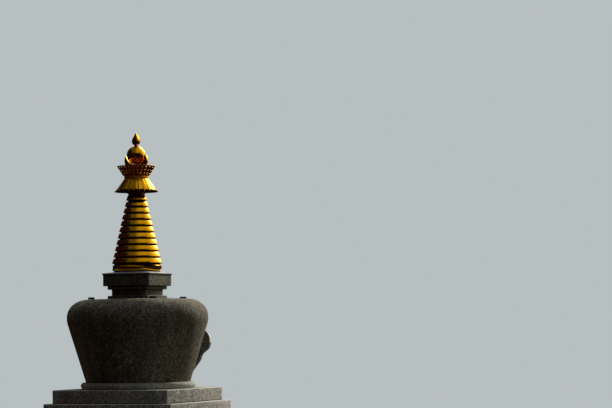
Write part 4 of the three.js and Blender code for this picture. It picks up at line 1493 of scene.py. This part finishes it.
def add_lamp(name, azimuth, elevation, spread, strength, colour):
    """Even light from one side of the studio, as soft as a lamp that spreads over so many degrees."""
    lamp = bpy.data.lights.new(name, "SUN")
    lamp.angle = math.radians(spread)
    lamp.energy = strength
    lamp.color = linear(colour)[:3]
    made = put(name, lamp)
    direction = direction_of(azimuth, elevation)
    made.location = Vector((0, 0, LAMP_LEVEL)) + direction * LAMP_DISTANCE
    made.rotation_euler = direction.to_track_quat("Z", "Y").to_euler()
    made.visible_glossy = False


def towards(tree, direction, azimuth, elevation, nearly, fully):
    """1 within the angle fully of a direction, 0 beyond the angle nearly; all in degrees."""
    aim = direction_of(azimuth, elevation)
    along = add(tree, "ShaderNodeVectorMath", [direction, aim], operation="DOT_PRODUCT").outputs["Value"]
    limits = {"From Min": math.cos(math.radians(nearly)), "From Max": math.cos(math.radians(fully))}
    return add(tree, "ShaderNodeMapRange", {"Value": along, **limits}, interpolation_type="SMOOTHSTEP")


def light_of(colour, strength):
    """The linear values of light that has a colour and a strength."""
    return [c * strength for c in linear(colour)[:3]] + [1.0]


def make_sky():
    """Pale to the camera. The gilding mirrors bright and dark sides and a dark horizon; the stone gets little."""
    world = bpy.data.worlds.new("studio")
    bpy.context.scene.world = world
    world.use_nodes = True
    tree = world.node_tree
    tree.nodes.clear()
    direction = add(tree, "ShaderNodeTexCoord").outputs["Generated"]
    height = add(tree, "ShaderNodeSeparateXYZ", {"Vector": direction}).outputs["Z"]
    level = add(tree, "ShaderNodeVectorMath", [direction, (1, 1, 0)], operation="MULTIPLY")
    bearing = add(tree, "ShaderNodeVectorMath", {"Vector": level.outputs["Vector"]}, operation="NORMALIZE")
    mirrored = light_of(*MIRRORED_SKY)
    for part in MIRRORED.values():
        shares = []
        if "azimuth" in part:
            seen_from = direction if "elevation" in part else bearing
            shares.append(towards(tree, seen_from, part["azimuth"], part.get("elevation", 0), *part["fades"]))
        if "below" in part:
            limits = {"From Min": part["below"][0], "From Max": part["below"][1]}
            shares.append(add(tree, "ShaderNodeMapRange", {"Value": height, **limits}))
        share = shares[0] if len(shares) == 1 else add(tree, "ShaderNodeMath", shares, operation="MULTIPLY")
        mixed = {"Factor_Float": share, "A_Color": mirrored, "B_Color": light_of(*part["light"])}
        mirrored = add(tree, "ShaderNodeMix", mixed, data_type="RGBA")
    around = add(tree, "ShaderNodeBackground", {"Color": mirrored, "Strength": 1.0})
    upwards = add(tree, "ShaderNodeMapRange", {"Value": height, "From Min": -1.0})
    shade = colour_steps(tree, upwards, [(0.0, "#4c3a26"), (0.45, "#43362a"), (0.6, "#454644"), (1.0, "#62666a")])
    soft = add(tree, "ShaderNodeBackground", {"Color": shade, "Strength": SOFT_LIGHT})
    seen = add(tree, "ShaderNodeBackground", {"Color": linear("#b7bfc0"), "Strength": 1.0})
    ray = add(tree, "ShaderNodeLightPath").outputs
    unseen = add(tree, "ShaderNodeMixShader", {"Fac": ray["Is Glossy Ray"], "Shader": soft, "Shader_001": around})
    mixed = add(tree, "ShaderNodeMixShader", {"Fac": ray["Is Camera Ray"], "Shader": unseen, "Shader_001": seen})
    add(tree, "ShaderNodeOutputWorld", {"Surface": mixed})


def make_floor():
    form = bmesh.new()
    bmesh.ops.create_circle(form, cap_ends=True, segments=128, radius=FLOOR_RADIUS)
    floor = put("studio_floor", mesh_of(form, "studio_floor"))
    paint = mottled("pale_floor_paint", 0.7, 4.0, [(0.3, "#c4c2b8"), (0.7, "#cdcbc1")], 0.9)
    floor.data.materials.append(paint)
    floor.visible_glossy = False
    floor.visible_diffuse = False


def make_lights():
    add_lamp("key", azimuth=342, elevation=25, spread=9, strength=3.5, colour="#fffaf2")
    add_lamp("back", azimuth=20, elevation=55, spread=30, strength=0.6, colour="#f2f5ff")
    add_lamp("top", azimuth=206, elevation=88, spread=40, strength=0.33, colour="#dde8ff")
    add_lamp("side", azimuth=262, elevation=8, spread=40, strength=0.27, colour="#f2f4e8")
    add_lamp("fill", azimuth=98, elevation=3, spread=40, strength=0.17, colour="#ffd9b0")


make_camera()
make_lights()
make_sky()
make_floor()
make_courses()
make_throne()
make_vase()
make_niche_frame()
make_lugs()
make_harmika_slab()
make_cushion()
make_spire_rings()
make_umbrella()
make_collar()
make_crown()
make_moon()
make_sun()
make_jewel()
dress_kept_nodes()

scene = bpy.context.scene
scene.view_settings.view_transform = "Standard"
scene.view_settings.look = "None"
